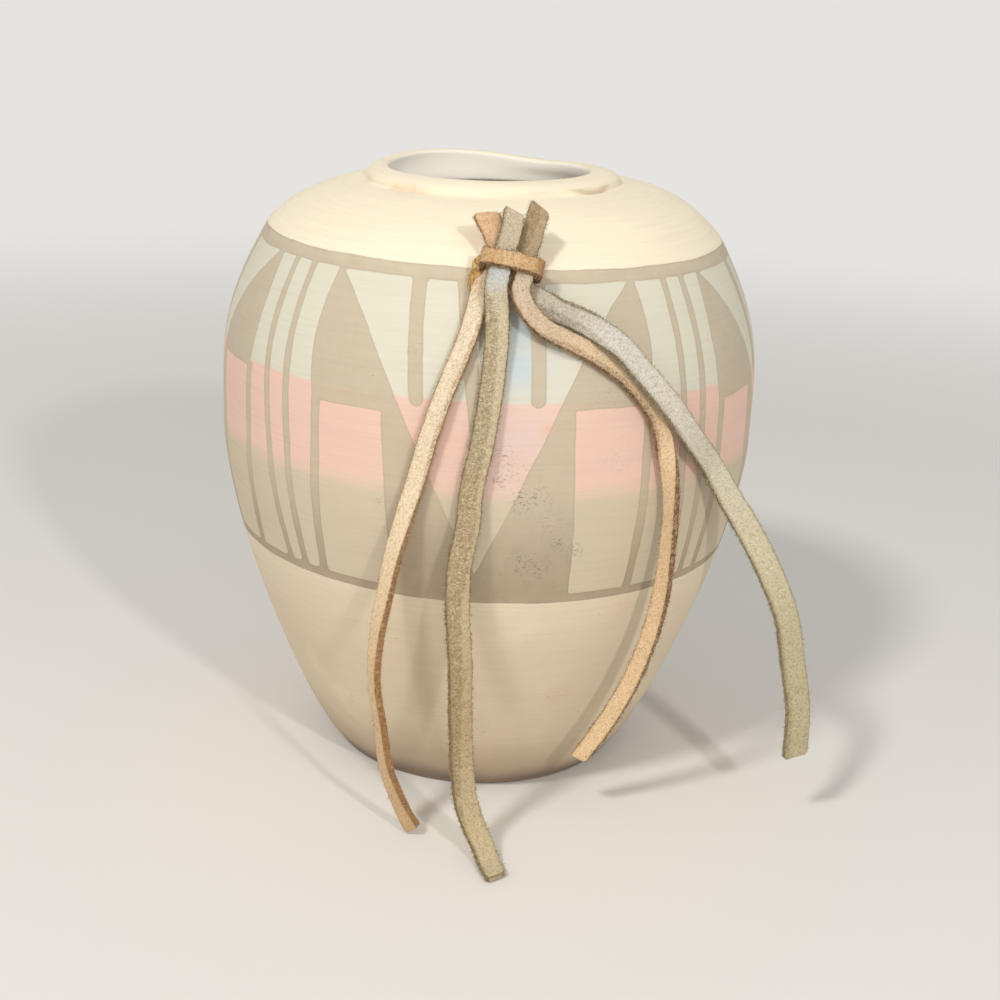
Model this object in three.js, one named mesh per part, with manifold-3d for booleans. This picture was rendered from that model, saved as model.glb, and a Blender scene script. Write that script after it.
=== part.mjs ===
// A pottery vase with a leather lace tassel on its shoulder, in millimetres, +Z up.
// The origin is the middle of the vase's flat foot, and the tassel is on the -Y side.

import * as THREE from 'three';
import Module from 'manifold-3d';
import { mergeVertices } from 'three/addons/utils/BufferGeometryUtils.js';

const wasm = await Module();
wasm.setup();

// The air left between pieces that touch.
const clearance = 0.3;

// The fired shell: foot, belly, shoulder corner and the top of the dome.
const footRadius = 33.8;
const footRound = 1.1;
const bellyRadius = 63.5;
const bellyHeight = 82.2;
const cornerRadius = 53.0;
const cornerHeight = 128.8;
const domeHeight = 139.4;
const wallThickness = 5.0;
const floorThickness = 6.0;
const floorFillet = 6.0;

// The shares of the dome and of the upper curve that the inside follows, between its roundings.
const innerDome = [0.2, 0.97];
const innerUpper = [0.05, 0.92];

// How far each curve of the outline pulls out of its ends, as distances across and up.
const footPull = [8.6, 6.5];
const bellyPullDown = 22.4;
const bellyPullUp = 18.0;
const cornerPullBelow = [11.9, 20.0];
const cornerPullAbove = [5.3, 5.9];
const domePull = [8.9, 0.8];

// The rolled collar round the mouth, and the little step that it stands on.
const mouthRadius = 23.5;
const collarThickness = 5.0;
const collarHeight = 3.0;
const stepWidth = 1.4;
const stepHeight = 0.7;
const throatDepth = 4.3;

// The tassel's seat: how far round from the front, how far below the dome's top, and how it leans.
const seatAzimuth = 3.7;
const seatDrop = 11.5;
const seatHeight = domeHeight - seatDrop;
const seatLean = 12.0;

// The leather laces.
const tanWidth = 3.9;
const oliveWidth = 5.2;
const greyWidth = 5.8;
const laceThickness = 1.6;
const laceBevel = 0.45;

// The tan strip bound round the laces, with two layers of lace in its loop.
const wrapWidth = 3.4;
const wrapThickness = 1.1;
const wrapCornerRadius = 1.0;
const bundleSlack = 1.3;
const laceLayers = 2;

// The dab of glue: a flat puddle under the wrap and a bead squeezed out at its lower left.
const glueThickness = 0.6;
const puddleRadii = [7.2, 4.5];
const puddleShift = -1.2;
const beadRadii = [1.3, 2.8, 1.6];
const beadPlace = [-8.3, -3.6, 0.5];

// Where the small arcs of the outline start and end, in degrees.
const footArc = [-90, -30];
const lipArc = [10, 180];
const floorArc = [-30, -90];

// The facets round the vase, and along each stretch of its outline.
const turnSteps = 48;
const lowerSteps = 9;
const upperSteps = 7;
const domeSteps = 6;
const lipSteps = 7;
const filletSteps = 2;

const colours = {
  ceramic: 0xe6d8ba,
  tan: 0xc9a274,
  olive: 0xa49c7c,
  grey: 0xb4b09a,
  glue: 0xb98a3c,
};

const vec2 = (across, up) => new THREE.Vector2(across, up);
const radians = THREE.MathUtils.degToRad;

// The outer wall is three curves that meet at the belly and at the shoulder corner.
function makeWallCurves() {
  const foot = vec2(footRadius + footRound, footRound);
  const belly = vec2(bellyRadius, bellyHeight);
  const corner = vec2(cornerRadius, cornerHeight);
  const top = vec2(mouthRadius + collarThickness + 2 * stepWidth, domeHeight);
  const lower = new THREE.CubicBezierCurve(
    foot,
    vec2(foot.x + footPull[0], foot.y + footPull[1]),
    vec2(belly.x, belly.y - bellyPullDown),
    belly,
  );
  const upper = new THREE.CubicBezierCurve(
    belly,
    vec2(belly.x, belly.y + bellyPullUp),
    vec2(corner.x + cornerPullBelow[0], corner.y - cornerPullBelow[1]),
    corner,
  );
  const dome = new THREE.CubicBezierCurve(
    corner,
    vec2(corner.x - cornerPullAbove[0], corner.y + cornerPullAbove[1]),
    vec2(top.x + domePull[0], top.y - domePull[1]),
    top,
  );
  return { lower, upper, dome };
}

const wall = makeWallCurves();

// Points along a curve, moved outwards by a distance (inwards if it is negative).
function offsetPoints(curve, steps, distance, from = 0, to = 1) {
  const points = [];
  for (let i = 0; i <= steps; i += 1) {
    const t = from + ((to - from) * i) / steps;
    const way = curve.getTangent(t);
    const point = curve.getPoint(t);
    points.push(vec2(point.x + way.y * distance, point.y - way.x * distance));
  }
  return points;
}

// The whole outer wall, moved outwards by a distance.
function outerWall(distance) {
  return [
    ...offsetPoints(wall.lower, lowerSteps, distance),
    ...offsetPoints(wall.upper, upperSteps, distance).slice(1),
    ...offsetPoints(wall.dome, domeSteps, distance).slice(1),
  ];
}

// The outer wall's radius at a height, with its outward direction across and up.
function wallAt(height) {
  const curve = Object.values(wall).find((stretch) => height <= stretch.getPoint(1).y);
  let low = 0;
  let high = 1;
  while (high - low > 1e-6) {
    const middle = (low + high) / 2;
    if (curve.getPoint(middle).y < height) {
      low = middle;
    } else {
      high = middle;
    }
  }
  const way = curve.getTangent(low);
  return { radius: curve.getPoint(low).x, across: way.y, up: -way.x };
}

// Points on an arc round a centre, between two angles in degrees.
function arcPoints(centre, radius, from, to, steps) {
  const points = [];
  for (let i = 0; i <= steps; i += 1) {
    const angle = radians(from + ((to - from) * i) / steps);
    points.push(vec2(centre.x + radius * Math.cos(angle), centre.y + radius * Math.sin(angle)));
  }
  return points;
}

// A profile turned round the vase's axis.
function turned(profile) {
  const geometry = new THREE.LatheGeometry(profile, turnSteps);
  geometry.rotateX(Math.PI / 2);
  return geometry;
}

function vaseProfile() {
  const lipRadius = collarThickness / 2;
  const lip = vec2(mouthRadius + lipRadius, domeHeight + collarHeight - lipRadius);
  const stepRadius = mouthRadius + collarThickness + stepWidth;
  const outside = [
    vec2(0, 0),
    ...arcPoints(vec2(footRadius, footRound), footRound, ...footArc, filletSteps),
    ...outerWall(0),
  ];
  const collar = [
    vec2(stepRadius, domeHeight + stepHeight),
    ...arcPoints(lip, lipRadius, ...lipArc, lipSteps),
    vec2(mouthRadius, lip.y - throatDepth),
  ];
  // Each inner stretch stops short of the shoulder corner, which is rounded on the inside.
  const inside = [
    ...offsetPoints(wall.dome, domeSteps - 1, -wallThickness, ...innerDome).reverse(),
    ...offsetPoints(wall.upper, upperSteps - 1, -wallThickness, ...innerUpper).reverse(),
    ...offsetPoints(wall.lower, lowerSteps, -wallThickness).reverse(),
  ].filter((point) => point.y > floorThickness + floorFillet);
  const lowest = inside[inside.length - 1];
  const filletCentre = vec2(lowest.x - floorFillet, floorThickness + floorFillet);
  const floor = [...arcPoints(filletCentre, floorFillet, ...floorArc, filletSteps), vec2(0, floorThickness)];
  return [...outside, ...collar, ...inside, ...floor];
}

// The seat's own directions: across the wrap, along the laces and straight out of the wall.
function seatFrame() {
  const { radius, across, up } = wallAt(seatHeight);
  const azimuth = radians(seatAzimuth);
  const outward = new THREE.Vector3(Math.sin(azimuth), -Math.cos(azimuth), 0);
  const level = new THREE.Vector3(Math.cos(azimuth), Math.sin(azimuth), 0);
  const origin = outward.clone().multiplyScalar(radius).setZ(seatHeight);
  const out = outward.clone().multiplyScalar(across).setZ(up);
  const uphill = new THREE.Vector3().crossVectors(out, level);
  const side = level.clone().applyAxisAngle(out, -radians(seatLean));
  const along = uphill.clone().applyAxisAngle(out, -radians(seatLean));
  return new THREE.Matrix4().makeBasis(side, along, out).setPosition(origin);
}

// An upright rectangle with round corners, from one height to another.
function roundedRectangle(path, width, low, high, radius) {
  const side = width / 2 - radius;
  path.moveTo(-side, low);
  path.lineTo(side, low);
  path.absarc(side, low + radius, radius, -Math.PI / 2, 0, false);
  path.absarc(side, high - radius, radius, 0, Math.PI / 2, false);
  path.absarc(-side, high - radius, radius, Math.PI / 2, Math.PI, false);
  path.absarc(-side, low + radius, radius, Math.PI, 1.5 * Math.PI, false);
  return path;
}

// The wrap is a closed loop of strip round the lace layers and the air between them.
function wrapGeometry(seat) {
  const holeWidth = tanWidth + greyWidth + bundleSlack;
  const holeDepth = laceLayers * laceThickness + (laceLayers + 1) * clearance;
  const back = 2 * clearance + glueThickness;
  const front = back + holeDepth + 2 * wrapThickness;
  const outline = roundedRectangle(
    new THREE.Shape(),
    holeWidth + 2 * wrapThickness,
    back,
    front,
    wrapCornerRadius + wrapThickness,
  );
  outline.holes.push(roundedRectangle(
    new THREE.Path(),
    holeWidth,
    back + wrapThickness,
    front - wrapThickness,
    wrapCornerRadius,
  ));
  const geometry = new THREE.ExtrudeGeometry(outline, {
    depth: wrapWidth,
    bevelEnabled: false,
    curveSegments: 5,
  });
  geometry.rotateX(Math.PI / 2);
  geometry.translate(0, wrapWidth / 2, 0);
  return geometry.applyMatrix4(seat);
}

function toManifold(geometry) {
  const bare = geometry.clone();
  bare.deleteAttribute('normal');
  bare.deleteAttribute('uv');
  const merged = mergeVertices(bare);
  return new wasm.Manifold(new wasm.Mesh({
    numProp: 3,
    vertProperties: new Float32Array(merged.attributes.position.array),
    triVerts: new Uint32Array(merged.index.array),
  }));
}

function fromManifold(manifold) {
  const mesh = manifold.getMesh();
  const geometry = new THREE.BufferGeometry();
  geometry.setAttribute('position', new THREE.BufferAttribute(new Float32Array(mesh.vertProperties), 3));
  geometry.setIndex(new THREE.BufferAttribute(new Uint32Array(mesh.triVerts), 1));
  geometry.computeVertexNormals();
  return geometry;
}

// The glue is set into the wall and then cut back to a clearance outside it, so it fits the curve.
function glueGeometry(seat) {
  const front = clearance + glueThickness;
  const depth = front + wallThickness;
  const puddle = new THREE.CylinderGeometry(1, 1, depth, 28);
  puddle.rotateX(Math.PI / 2);
  puddle.scale(puddleRadii[0], puddleRadii[1], 1);
  puddle.translate(puddleShift, 0, front - depth / 2);
  puddle.applyMatrix4(seat);
  const bead = new THREE.SphereGeometry(1, 16, 10);
  bead.scale(...beadRadii);
  bead.translate(...beadPlace);
  bead.applyMatrix4(seat);
  const keepOut = turned([vec2(0, 0), ...outerWall(clearance), vec2(0, domeHeight + clearance)]);
  return fromManifold(toManifold(puddle).add(toManifold(bead)).subtract(toManifold(keepOut)));
}

// A lace's route has a row for each ring of its tube: the point, then how far the flat face is
// turned round the upright and lifted from the way that the wall faces there, in degrees.
// Where a lace hangs below the belly it faces level, and its stub faces as the seat does.
class LaceRoute extends THREE.Curve {
  constructor(rows) {
    super();
    this.points = rows.map(([x, y, z]) => new THREE.Vector3(x, y, z));
    this.faces = rows.map(([x, y, z, turn = 0, lift = 0]) => {
      const { across, up } = wallAt(THREE.MathUtils.clamp(z, bellyHeight, seatHeight));
      const azimuth = Math.atan2(x, -y) + radians(turn);
      const rise = Math.atan2(up, across) + radians(lift);
      return new THREE.Vector3(
        Math.sin(azimuth) * Math.cos(rise),
        -Math.cos(azimuth) * Math.cos(rise),
        Math.sin(rise),
      );
    });
  }

  getSpacedPoints() {
    return this.points;
  }

  computeFrenetFrames() {
    const last = this.points.length - 1;
    const tangents = this.points.map((point, i) => {
      const before = this.points[Math.max(i - 1, 0)];
      const after = this.points[Math.min(i + 1, last)];
      return after.clone().sub(before).normalize();
    });
    const normals = this.faces.map((face, i) => (
      face.clone().addScaledVector(tangents[i], -face.dot(tangents[i])).normalize()
    ));
    const binormals = tangents.map((tangent, i) => new THREE.Vector3().crossVectors(tangent, normals[i]));
    return { tangents, normals, binormals };
  }
}

// A flat strip whose long corners are taken off, so its section has eight sides.
function laceGeometry({ width, route }) {
  const x = laceThickness / 2;
  const y = width / 2;
  const section = new THREE.Shape([
    vec2(x, -y + laceBevel),
    vec2(x, y - laceBevel),
    vec2(x - laceBevel, y),
    vec2(-x + laceBevel, y),
    vec2(-x, y - laceBevel),
    vec2(-x, -y + laceBevel),
    vec2(-x + laceBevel, -y),
    vec2(x - laceBevel, -y),
  ]);
  return new THREE.ExtrudeGeometry(section, { steps: route.length - 1, extrudePath: new LaceRoute(route) });
}

// Each lace starts at its cut stub above the wrap and ends at its tip.
const laces = {
  lace_tan_left: {
    width: tanWidth,
    colour: colours.tan,
    route: [
      [-1.9, -52.1, 139.8, 5],
      [-0.3, -53.3, 136, 4],
      [0.8, -55, 132.2, 3],
      [0, -57.4, 128.2, 4],
      [-2.2, -57.7, 125.2],
      [-3.1, -58.7, 121.6],
      [-4.4, -60.7, 116.4],
      [-7.5, -63, 108],
      [-10, -64, 101],
      [-11.5, -64, 96],
      [-14, -63.5, 86],
      [-16.5, -63.5, 76.5, -12],
      [-18.5, -64, 68.5, -24],
      [-20, -64, 60, -30],
      [-21.5, -64, 50.5, -38],
      [-22, -63.5, 39, -44],
      [-20.5, -63, 28.5, -42],
      [-19, -62, 17.5, -34],
      [-15.5, -61, 7.5, -26, 4],
      [-12.7, -60.5, 1.6, -20, 8],
    ],
  },
  lace_olive_centre: {
    width: oliveWidth,
    colour: colours.olive,
    route: [
      [3.8, -53.3, 140.5],
      [3.3, -54.8, 136.6],
      [2.3, -56.7, 133],
      [1.2, -59.2, 129, 2],
      [0.7, -60.3, 125.7],
      [1, -60.8, 122.2],
      [1.3, -61.6, 117.2],
      [1, -63, 109],
      [0, -64.5, 99.5],
      [-1, -65, 92.5],
      [-2.5, -65, 84.5],
      [-3, -65.5, 76.5, 5],
      [-4.5, -66, 67.5, 12],
      [-4.5, -66, 57, 19],
      [-3.5, -66, 45, 23],
      [-3, -66, 32.5, 26],
      [-2, -66.5, 19, 27],
      [-1, -67, 12.5, 25, 3],
      [1, -68, 7, 21, 18],
      [3, -70, 3.5, 18, 45],
      [4.4, -73, 1.5, 12, 76],
      [6.2, -79.1, 1.2, 5, 85],
    ],
  },
  lace_tan_right: {
    width: tanWidth,
    colour: colours.tan,
    route: [
      [7.1, -57.6, 130.9, -3],
      [6.3, -59.3, 128, -2],
      [5.7, -60.3, 125.5],
      [6.7, -61.4, 122.8],
      [8.7, -61.5, 120.1],
      [11.9, -60.8, 117.5],
      [15.5, -59.4, 115.5],
      [19.6, -58.7, 113.6],
      [23.9, -58, 111.1],
      [27.9, -57, 108.3],
      [32, -55.7, 104],
      [35.4, -54.3, 99.2],
      [37.7, -53.7, 93.5, -14],
      [39.5, -54, 86.5, -68],
      [40.5, -54, 78, -93],
      [40.5, -53.5, 69.5, -91],
      [40, -53, 58.5, -83],
      [38, -52, 46.5, -75],
      [34, -50.5, 33.5, -68],
      [29.5, -49, 23.5, -60],
      [24.5, -47.5, 14.5, -53],
    ],
  },
  lace_grey_right: {
    width: greyWidth,
    colour: colours.grey,
    route: [
      [9, -50.8, 141.3, -5],
      [7.8, -52.7, 136.1, -4],
      [6.4, -55.2, 131.2, -3],
      [5.5, -57.8, 126.7, -2],
      [7.3, -57.8, 124.4, 0, -8],
      [10, -58, 123.1, 0, -26],
      [14, -58.4, 121.3, 0, -42],
      [18.6, -58.3, 119.6, 0, -42],
      [22.4, -58.8, 117.6, 0, -28],
      [26.2, -58.9, 115, 0, -8],
      [32.3, -57.8, 108.6],
      [38.2, -55.6, 101.8],
      [44.7, -50.1, 92.5],
      [49.5, -44.5, 85.5, -10],
      [53.5, -42.5, 79, -25],
      [59.5, -41.5, 70, -40],
      [65, -42, 60.5, -40],
      [69.5, -43.5, 50.5, -35],
      [72, -45, 39, -38],
      [74, -46.5, 28, -40],
      [74, -48, 17.5, -42],
    ],
  },
};

function piece(name, geometry, color, roughness) {
  const mesh = new THREE.Mesh(geometry, new THREE.MeshStandardMaterial({ color, roughness, metalness: 0 }));
  mesh.name = name;
  return mesh;
}

const vase = new THREE.Group();
const seat = seatFrame();
vase.add(piece('vase_body', turned(vaseProfile()), colours.ceramic, 0.75));
vase.add(piece('glue_dab', glueGeometry(seat), colours.glue, 0.3));
vase.add(piece('binding_wrap', wrapGeometry(seat), colours.tan, 0.9));
for (const [name, lace] of Object.entries(laces)) {
  vase.add(piece(name, laceGeometry(lace), lace.colour, 0.95));
}

export default vase;
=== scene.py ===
# %% [markdown]
# # A pottery vase with a leather lace tassel
#
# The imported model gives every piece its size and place. This lesson dresses it: first the camera and
# the four suede laces, then the strip and the glue that hold them, then the pot with its painted band,
# and last the finishes, the floor and the lamps.

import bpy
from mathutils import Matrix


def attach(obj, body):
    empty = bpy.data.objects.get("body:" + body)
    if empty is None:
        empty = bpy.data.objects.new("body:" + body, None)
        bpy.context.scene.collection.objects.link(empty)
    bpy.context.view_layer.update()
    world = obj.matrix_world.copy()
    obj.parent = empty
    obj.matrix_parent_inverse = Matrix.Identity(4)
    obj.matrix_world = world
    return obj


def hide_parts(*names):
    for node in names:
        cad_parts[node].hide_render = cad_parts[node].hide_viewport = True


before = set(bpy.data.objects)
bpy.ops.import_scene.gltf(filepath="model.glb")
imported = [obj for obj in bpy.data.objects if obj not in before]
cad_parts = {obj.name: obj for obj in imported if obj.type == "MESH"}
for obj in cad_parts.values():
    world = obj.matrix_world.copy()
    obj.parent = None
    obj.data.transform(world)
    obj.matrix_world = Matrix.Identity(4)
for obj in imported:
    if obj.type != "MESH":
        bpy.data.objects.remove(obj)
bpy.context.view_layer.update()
print("The model's nodes:", sorted(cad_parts))

# %% Bring in the tools
import math

import bpy
import numpy as np
from mathutils import Matrix, Vector, noise

MM = 0.001
BODY = "root"
random = np.random.default_rng(seed=7)

# %% [markdown]
# ## The camera
#
# A camera can be placed by eye, or worked out from things whose true shape is known. Here the round
# rim, the round foot and the level painted lines fixed its place, its tilt and its lens. It stands in
# front of the tassel, a little above the vase, looks down, and leans a few degrees to one side.

# %% Camera
CAMERA_PLACE = Vector((0.0, -406.5 * MM, 195.1 * MM))
CAMERA_DOWN = 0.3196
CAMERA_RIGHT = 0.0101
CAMERA_ROLL = 0.0467
camera = bpy.data.objects.new("camera", bpy.data.cameras.new("camera"))
camera.data.sensor_width = 36.0
camera.data.lens = 62.09
aim = Matrix.Rotation(-CAMERA_RIGHT, 4, "Z") @ Matrix.Rotation(math.pi / 2 - CAMERA_DOWN, 4, "X")
camera.matrix_world = Matrix.Translation(CAMERA_PLACE) @ aim @ Matrix.Rotation(CAMERA_ROLL, 4, "Z")
bpy.context.scene.collection.objects.link(camera)
bpy.context.scene.camera = camera
print("Camera lens", camera.data.lens, "mm, at", tuple(round(x, 3) for x in CAMERA_PLACE))

# %% [markdown]
# ## The wall that the laces lie on
#
# The vase's outer wall is three smooth curves that meet at the belly and at the shoulder. They could be
# read back from the model's facets, but a curve written out again stays smooth however close the camera
# comes. The laces need it too, because each one faces the way that the wall beside it faces.

# %% Sizes of the wall, and how each of its curves is pulled at its ends: outwards, then up
FOOT_RADIUS = 33.8 * MM
FOOT_ROUND = 1.1 * MM
BELLY_RADIUS = 63.5 * MM
BELLY_HEIGHT = 82.2 * MM
CORNER_RADIUS = 53.0 * MM
CORNER_HEIGHT = 128.8 * MM
DOME_HEIGHT = 139.4 * MM
MOUTH_RADIUS = 23.5 * MM
COLLAR_THICKNESS = 5.0 * MM
COLLAR_HEIGHT = 3.0 * MM
STEP_WIDTH = 1.4 * MM
FOOT_PULL = (8.6 * MM, 6.5 * MM)
BELLY_PULL_DOWN = (0.0, -22.4 * MM)
BELLY_PULL_UP = (0.0, 18.0 * MM)
CORNER_PULL_BELOW = (11.9 * MM, -20.0 * MM)
CORNER_PULL_ABOVE = (-5.3 * MM, 5.9 * MM)
DOME_PULL = (8.9 * MM, -0.8 * MM)


# %% A smooth curve as a row of points
def bezier(start, start_pull, end_pull, end, steps):
    """A curve from start to end. Each pull is measured from the point at its own end."""
    start, end = np.array(start), np.array(end)
    t = np.linspace(0.0, 1.0, steps + 1)[:, None]
    return (
        start * (1 - t) ** 3
        + (start + start_pull) * 3 * t * (1 - t) ** 2
        + (end + end_pull) * 3 * t ** 2 * (1 - t)
        + end * t ** 3
    )


# %% The wall's three curves, joined
def wall_outline(lower_steps, upper_steps, dome_steps):
    foot = (FOOT_RADIUS + FOOT_ROUND, FOOT_ROUND)
    belly = (BELLY_RADIUS, BELLY_HEIGHT)
    corner = (CORNER_RADIUS, CORNER_HEIGHT)
    top = (MOUTH_RADIUS + COLLAR_THICKNESS + 2 * STEP_WIDTH, DOME_HEIGHT)
    lower = bezier(foot, FOOT_PULL, BELLY_PULL_DOWN, belly, lower_steps)
    upper = bezier(belly, BELLY_PULL_UP, CORNER_PULL_BELOW, corner, upper_steps)
    dome = bezier(corner, CORNER_PULL_ABOVE, DOME_PULL, top, dome_steps)
    return np.concatenate([lower, upper[1:], dome[1:]])


# %% The wall's radius and slope at a height
wall_line = wall_outline(lower_steps=80, upper_steps=80, dome_steps=60)
wall_way = np.gradient(wall_line, axis=0)
wall_rise = np.arctan2(-wall_way[:, 0], wall_way[:, 1])


def wall_radius(height):
    return np.interp(height, wall_line[:, 1], wall_line[:, 0])


def wall_slope(height):
    return np.interp(height, wall_line[:, 1], wall_rise)


print("The wall is widest at", round(wall_line[:, 0].max() / MM, 1), "mm from the axis")

# %% [markdown]
# ## The laces
#
# Each lace is a flat strip of suede, cut from a hide. A curve with a flat bevel could show it, but a
# suede lace has a soft nap on its faces, rough cut sides, and it twists. So each one is a mesh: a
# section with round corners is carried along a smooth line through the model's own points, its flat
# face is turned as the lace turns, and its skin is roughened.
#
# Each row of a route is a point in metres, as in the model, and then the turn and the lift of the flat
# face in degrees, where they aren't 0.

# %% The laces' sizes and routes
SEAT_DROP = 11.5 * MM
SEAT_HEIGHT = DOME_HEIGHT - SEAT_DROP
TAN_WIDTH = 3.9 * MM
OLIVE_WIDTH = 5.2 * MM
GREY_WIDTH = 5.8 * MM
LACE_THICKNESS = 1.6 * MM
ROUTES = {
    "lace_tan_left": [
        (-0.0019, -0.0521, 0.1398, 5), (-0.0003, -0.0533, 0.1360, 4), (0.0008, -0.0550, 0.1322, 3),
        (0.0000, -0.0574, 0.1282, 4), (-0.0022, -0.0577, 0.1252), (-0.0031, -0.0587, 0.1216),
        (-0.0044, -0.0607, 0.1164), (-0.0075, -0.0630, 0.1080), (-0.0100, -0.0640, 0.1010),
        (-0.0115, -0.0640, 0.0960), (-0.0140, -0.0635, 0.0860), (-0.0165, -0.0635, 0.0765, -12),
        (-0.0185, -0.0640, 0.0685, -24), (-0.0200, -0.0640, 0.0600, -30), (-0.0215, -0.0640, 0.0505, -38),
        (-0.0220, -0.0635, 0.0390, -44), (-0.0205, -0.0630, 0.0285, -42), (-0.0190, -0.0620, 0.0175, -34),
        (-0.0155, -0.0610, 0.0075, -26, 4), (-0.0127, -0.0605, 0.0016, -20, 8),
    ],
    "lace_olive_centre": [
        (0.0038, -0.0533, 0.1405), (0.0033, -0.0548, 0.1366), (0.0023, -0.0567, 0.1330),
        (0.0012, -0.0592, 0.1290, 2), (0.0007, -0.0603, 0.1257), (0.0010, -0.0608, 0.1222),
        (0.0013, -0.0616, 0.1172), (0.0010, -0.0630, 0.1090), (0.0000, -0.0645, 0.0995),
        (-0.0010, -0.0650, 0.0925), (-0.0025, -0.0650, 0.0845), (-0.0030, -0.0655, 0.0765, 5),
        (-0.0045, -0.0660, 0.0675, 12), (-0.0045, -0.0660, 0.0570, 19), (-0.0035, -0.0660, 0.0450, 23),
        (-0.0030, -0.0660, 0.0325, 26), (-0.0020, -0.0665, 0.0190, 27), (-0.0010, -0.0670, 0.0125, 25, 3),
        (0.0010, -0.0680, 0.0070, 21, 18), (0.0030, -0.0700, 0.0035, 18, 45),
        (0.0044, -0.0730, 0.0015, 12, 76), (0.0062, -0.0791, 0.0012, 5, 85),
    ],
    "lace_tan_right": [
        (0.0071, -0.0576, 0.1309, -3), (0.0063, -0.0593, 0.1280, -2), (0.0057, -0.0603, 0.1255),
        (0.0067, -0.0614, 0.1228), (0.0087, -0.0615, 0.1201), (0.0119, -0.0608, 0.1175),
        (0.0155, -0.0594, 0.1155), (0.0196, -0.0587, 0.1136), (0.0239, -0.0580, 0.1111),
        (0.0279, -0.0570, 0.1083), (0.0320, -0.0557, 0.1040), (0.0354, -0.0543, 0.0992),
        (0.0377, -0.0537, 0.0935, -14), (0.0395, -0.0540, 0.0865, -68), (0.0405, -0.0540, 0.0780, -93),
        (0.0405, -0.0535, 0.0695, -91), (0.0400, -0.0530, 0.0585, -83), (0.0380, -0.0520, 0.0465, -75),
        (0.0340, -0.0505, 0.0335, -68), (0.0295, -0.0490, 0.0235, -60), (0.0245, -0.0475, 0.0145, -53),
    ],
    "lace_grey_right": [
        (0.0090, -0.0508, 0.1413, -5), (0.0078, -0.0527, 0.1361, -4), (0.0064, -0.0552, 0.1312, -3),
        (0.0055, -0.0578, 0.1267, -2), (0.0073, -0.0578, 0.1244, 0, -8), (0.0100, -0.0580, 0.1231, 0, -26),
        (0.0140, -0.0584, 0.1213, 0, -42), (0.0186, -0.0583, 0.1196, 0, -42),
        (0.0224, -0.0588, 0.1176, 0, -28), (0.0262, -0.0589, 0.1150, 0, -8), (0.0323, -0.0578, 0.1086),
        (0.0382, -0.0556, 0.1018), (0.0447, -0.0501, 0.0925), (0.0495, -0.0445, 0.0855, -10),
        (0.0535, -0.0425, 0.0790, -25), (0.0595, -0.0415, 0.0700, -40), (0.0650, -0.0420, 0.0605, -40),
        (0.0695, -0.0435, 0.0505, -35), (0.0720, -0.0450, 0.0390, -38), (0.0740, -0.0465, 0.0280, -40),
        (0.0740, -0.0480, 0.0175, -42),
    ],
}


# %% A smooth line through the points of a route
def distances(points):
    """How far along a line each of its points lies."""
    return np.concatenate([[0.0], np.cumsum(np.linalg.norm(np.diff(points, axis=0), axis=1))])


def smooth_through(knots, values, places):
    """Values at places, on a curve that passes through every value at its knot."""
    slopes = np.gradient(values, knots, axis=0)
    i = np.clip(np.searchsorted(knots, places) - 1, 0, len(knots) - 2)
    gap = (knots[i + 1] - knots[i])[:, None]
    t = ((places - knots[i]) / gap[:, 0])[:, None]
    return (
        values[i] * (2 * t ** 3 - 3 * t ** 2 + 1)
        + slopes[i] * gap * (t ** 3 - 2 * t ** 2 + t)
        + values[i + 1] * (3 * t ** 2 - 2 * t ** 3)
        + slopes[i + 1] * gap * (t ** 3 - t ** 2)
    )


# %% The line of a lace, and which way it faces
RING_STEP = 0.2 * MM
ROUTE_COLUMNS = 5


def unit(rows):
    return rows / np.linalg.norm(rows, axis=1)[:, None]


def lace_line(route):
    """Ring centres, the way along them, the way the face looks, its side, and how far along they lie."""
    rows = np.array([(*row, 0, 0)[:ROUTE_COLUMNS] for row in route])
    knots = distances(rows[:, :3])
    azimuth = np.arctan2(rows[:, 0], -rows[:, 1]) + np.radians(rows[:, 3])
    rise = wall_slope(np.clip(rows[:, 2], BELLY_HEIGHT, SEAT_HEIGHT)) + np.radians(rows[:, 4])
    face = np.stack([np.sin(azimuth) * np.cos(rise), -np.cos(azimuth) * np.cos(rise), np.sin(rise)], axis=1)
    places = np.linspace(0.0, knots[-1], int(knots[-1] / RING_STEP) + 1)
    centres = smooth_through(knots, rows[:, :3], places)
    way = unit(np.gradient(centres, axis=0))
    out = smooth_through(knots, face, places)
    out = unit(out - (out * way).sum(axis=1)[:, None] * way)
    return centres, way, out, np.cross(way, out), places


# %% The section of a lace: across and through it from -1 to 1, and 1 where it is a cut side
FACE_POINTS = 20
SIDE_POINTS = 7
FACE_REACH = 0.92
WORN_EDGE = 0.3
WORN_POWER = 8
BULGE_POWER = 0.6
CORNER_POWER = 0.8


def strip_section():
    face = np.linspace(-FACE_REACH, FACE_REACH, FACE_POINTS)
    half = [(x, 1.0, WORN_EDGE * abs(x / FACE_REACH) ** WORN_POWER) for x in face]
    for angle in np.linspace(math.pi / 2, -math.pi / 2, SIDE_POINTS + 2)[1:-1]:
        bulge = FACE_REACH + (1 - FACE_REACH) * math.cos(angle) ** BULGE_POWER
        half.append((bulge, math.copysign(abs(math.sin(angle)) ** CORNER_POWER, math.sin(angle)), 1.0))
    return np.concatenate([half, np.array(half) * np.array([-1.0, -1.0, 1.0])])


section = strip_section()
print("A lace's section has", len(section), "points")


# %% Carry the section along a line
def carried(centres, out, side, depth, reach):
    """The section's points round each centre, and the way that its skin looks at each of them."""
    across, through, cut = section.T
    points = centres[:, None, :] + out[:, None, :] * depth[:, :, None] + side[:, None, :] * reach[:, :, None]
    look = side[:, None, :] * (across * cut)[None, :, None]
    look = look + out[:, None, :] * (through * (1 - cut))[None, :, None]
    return points, look.reshape(-1, 3)


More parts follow.
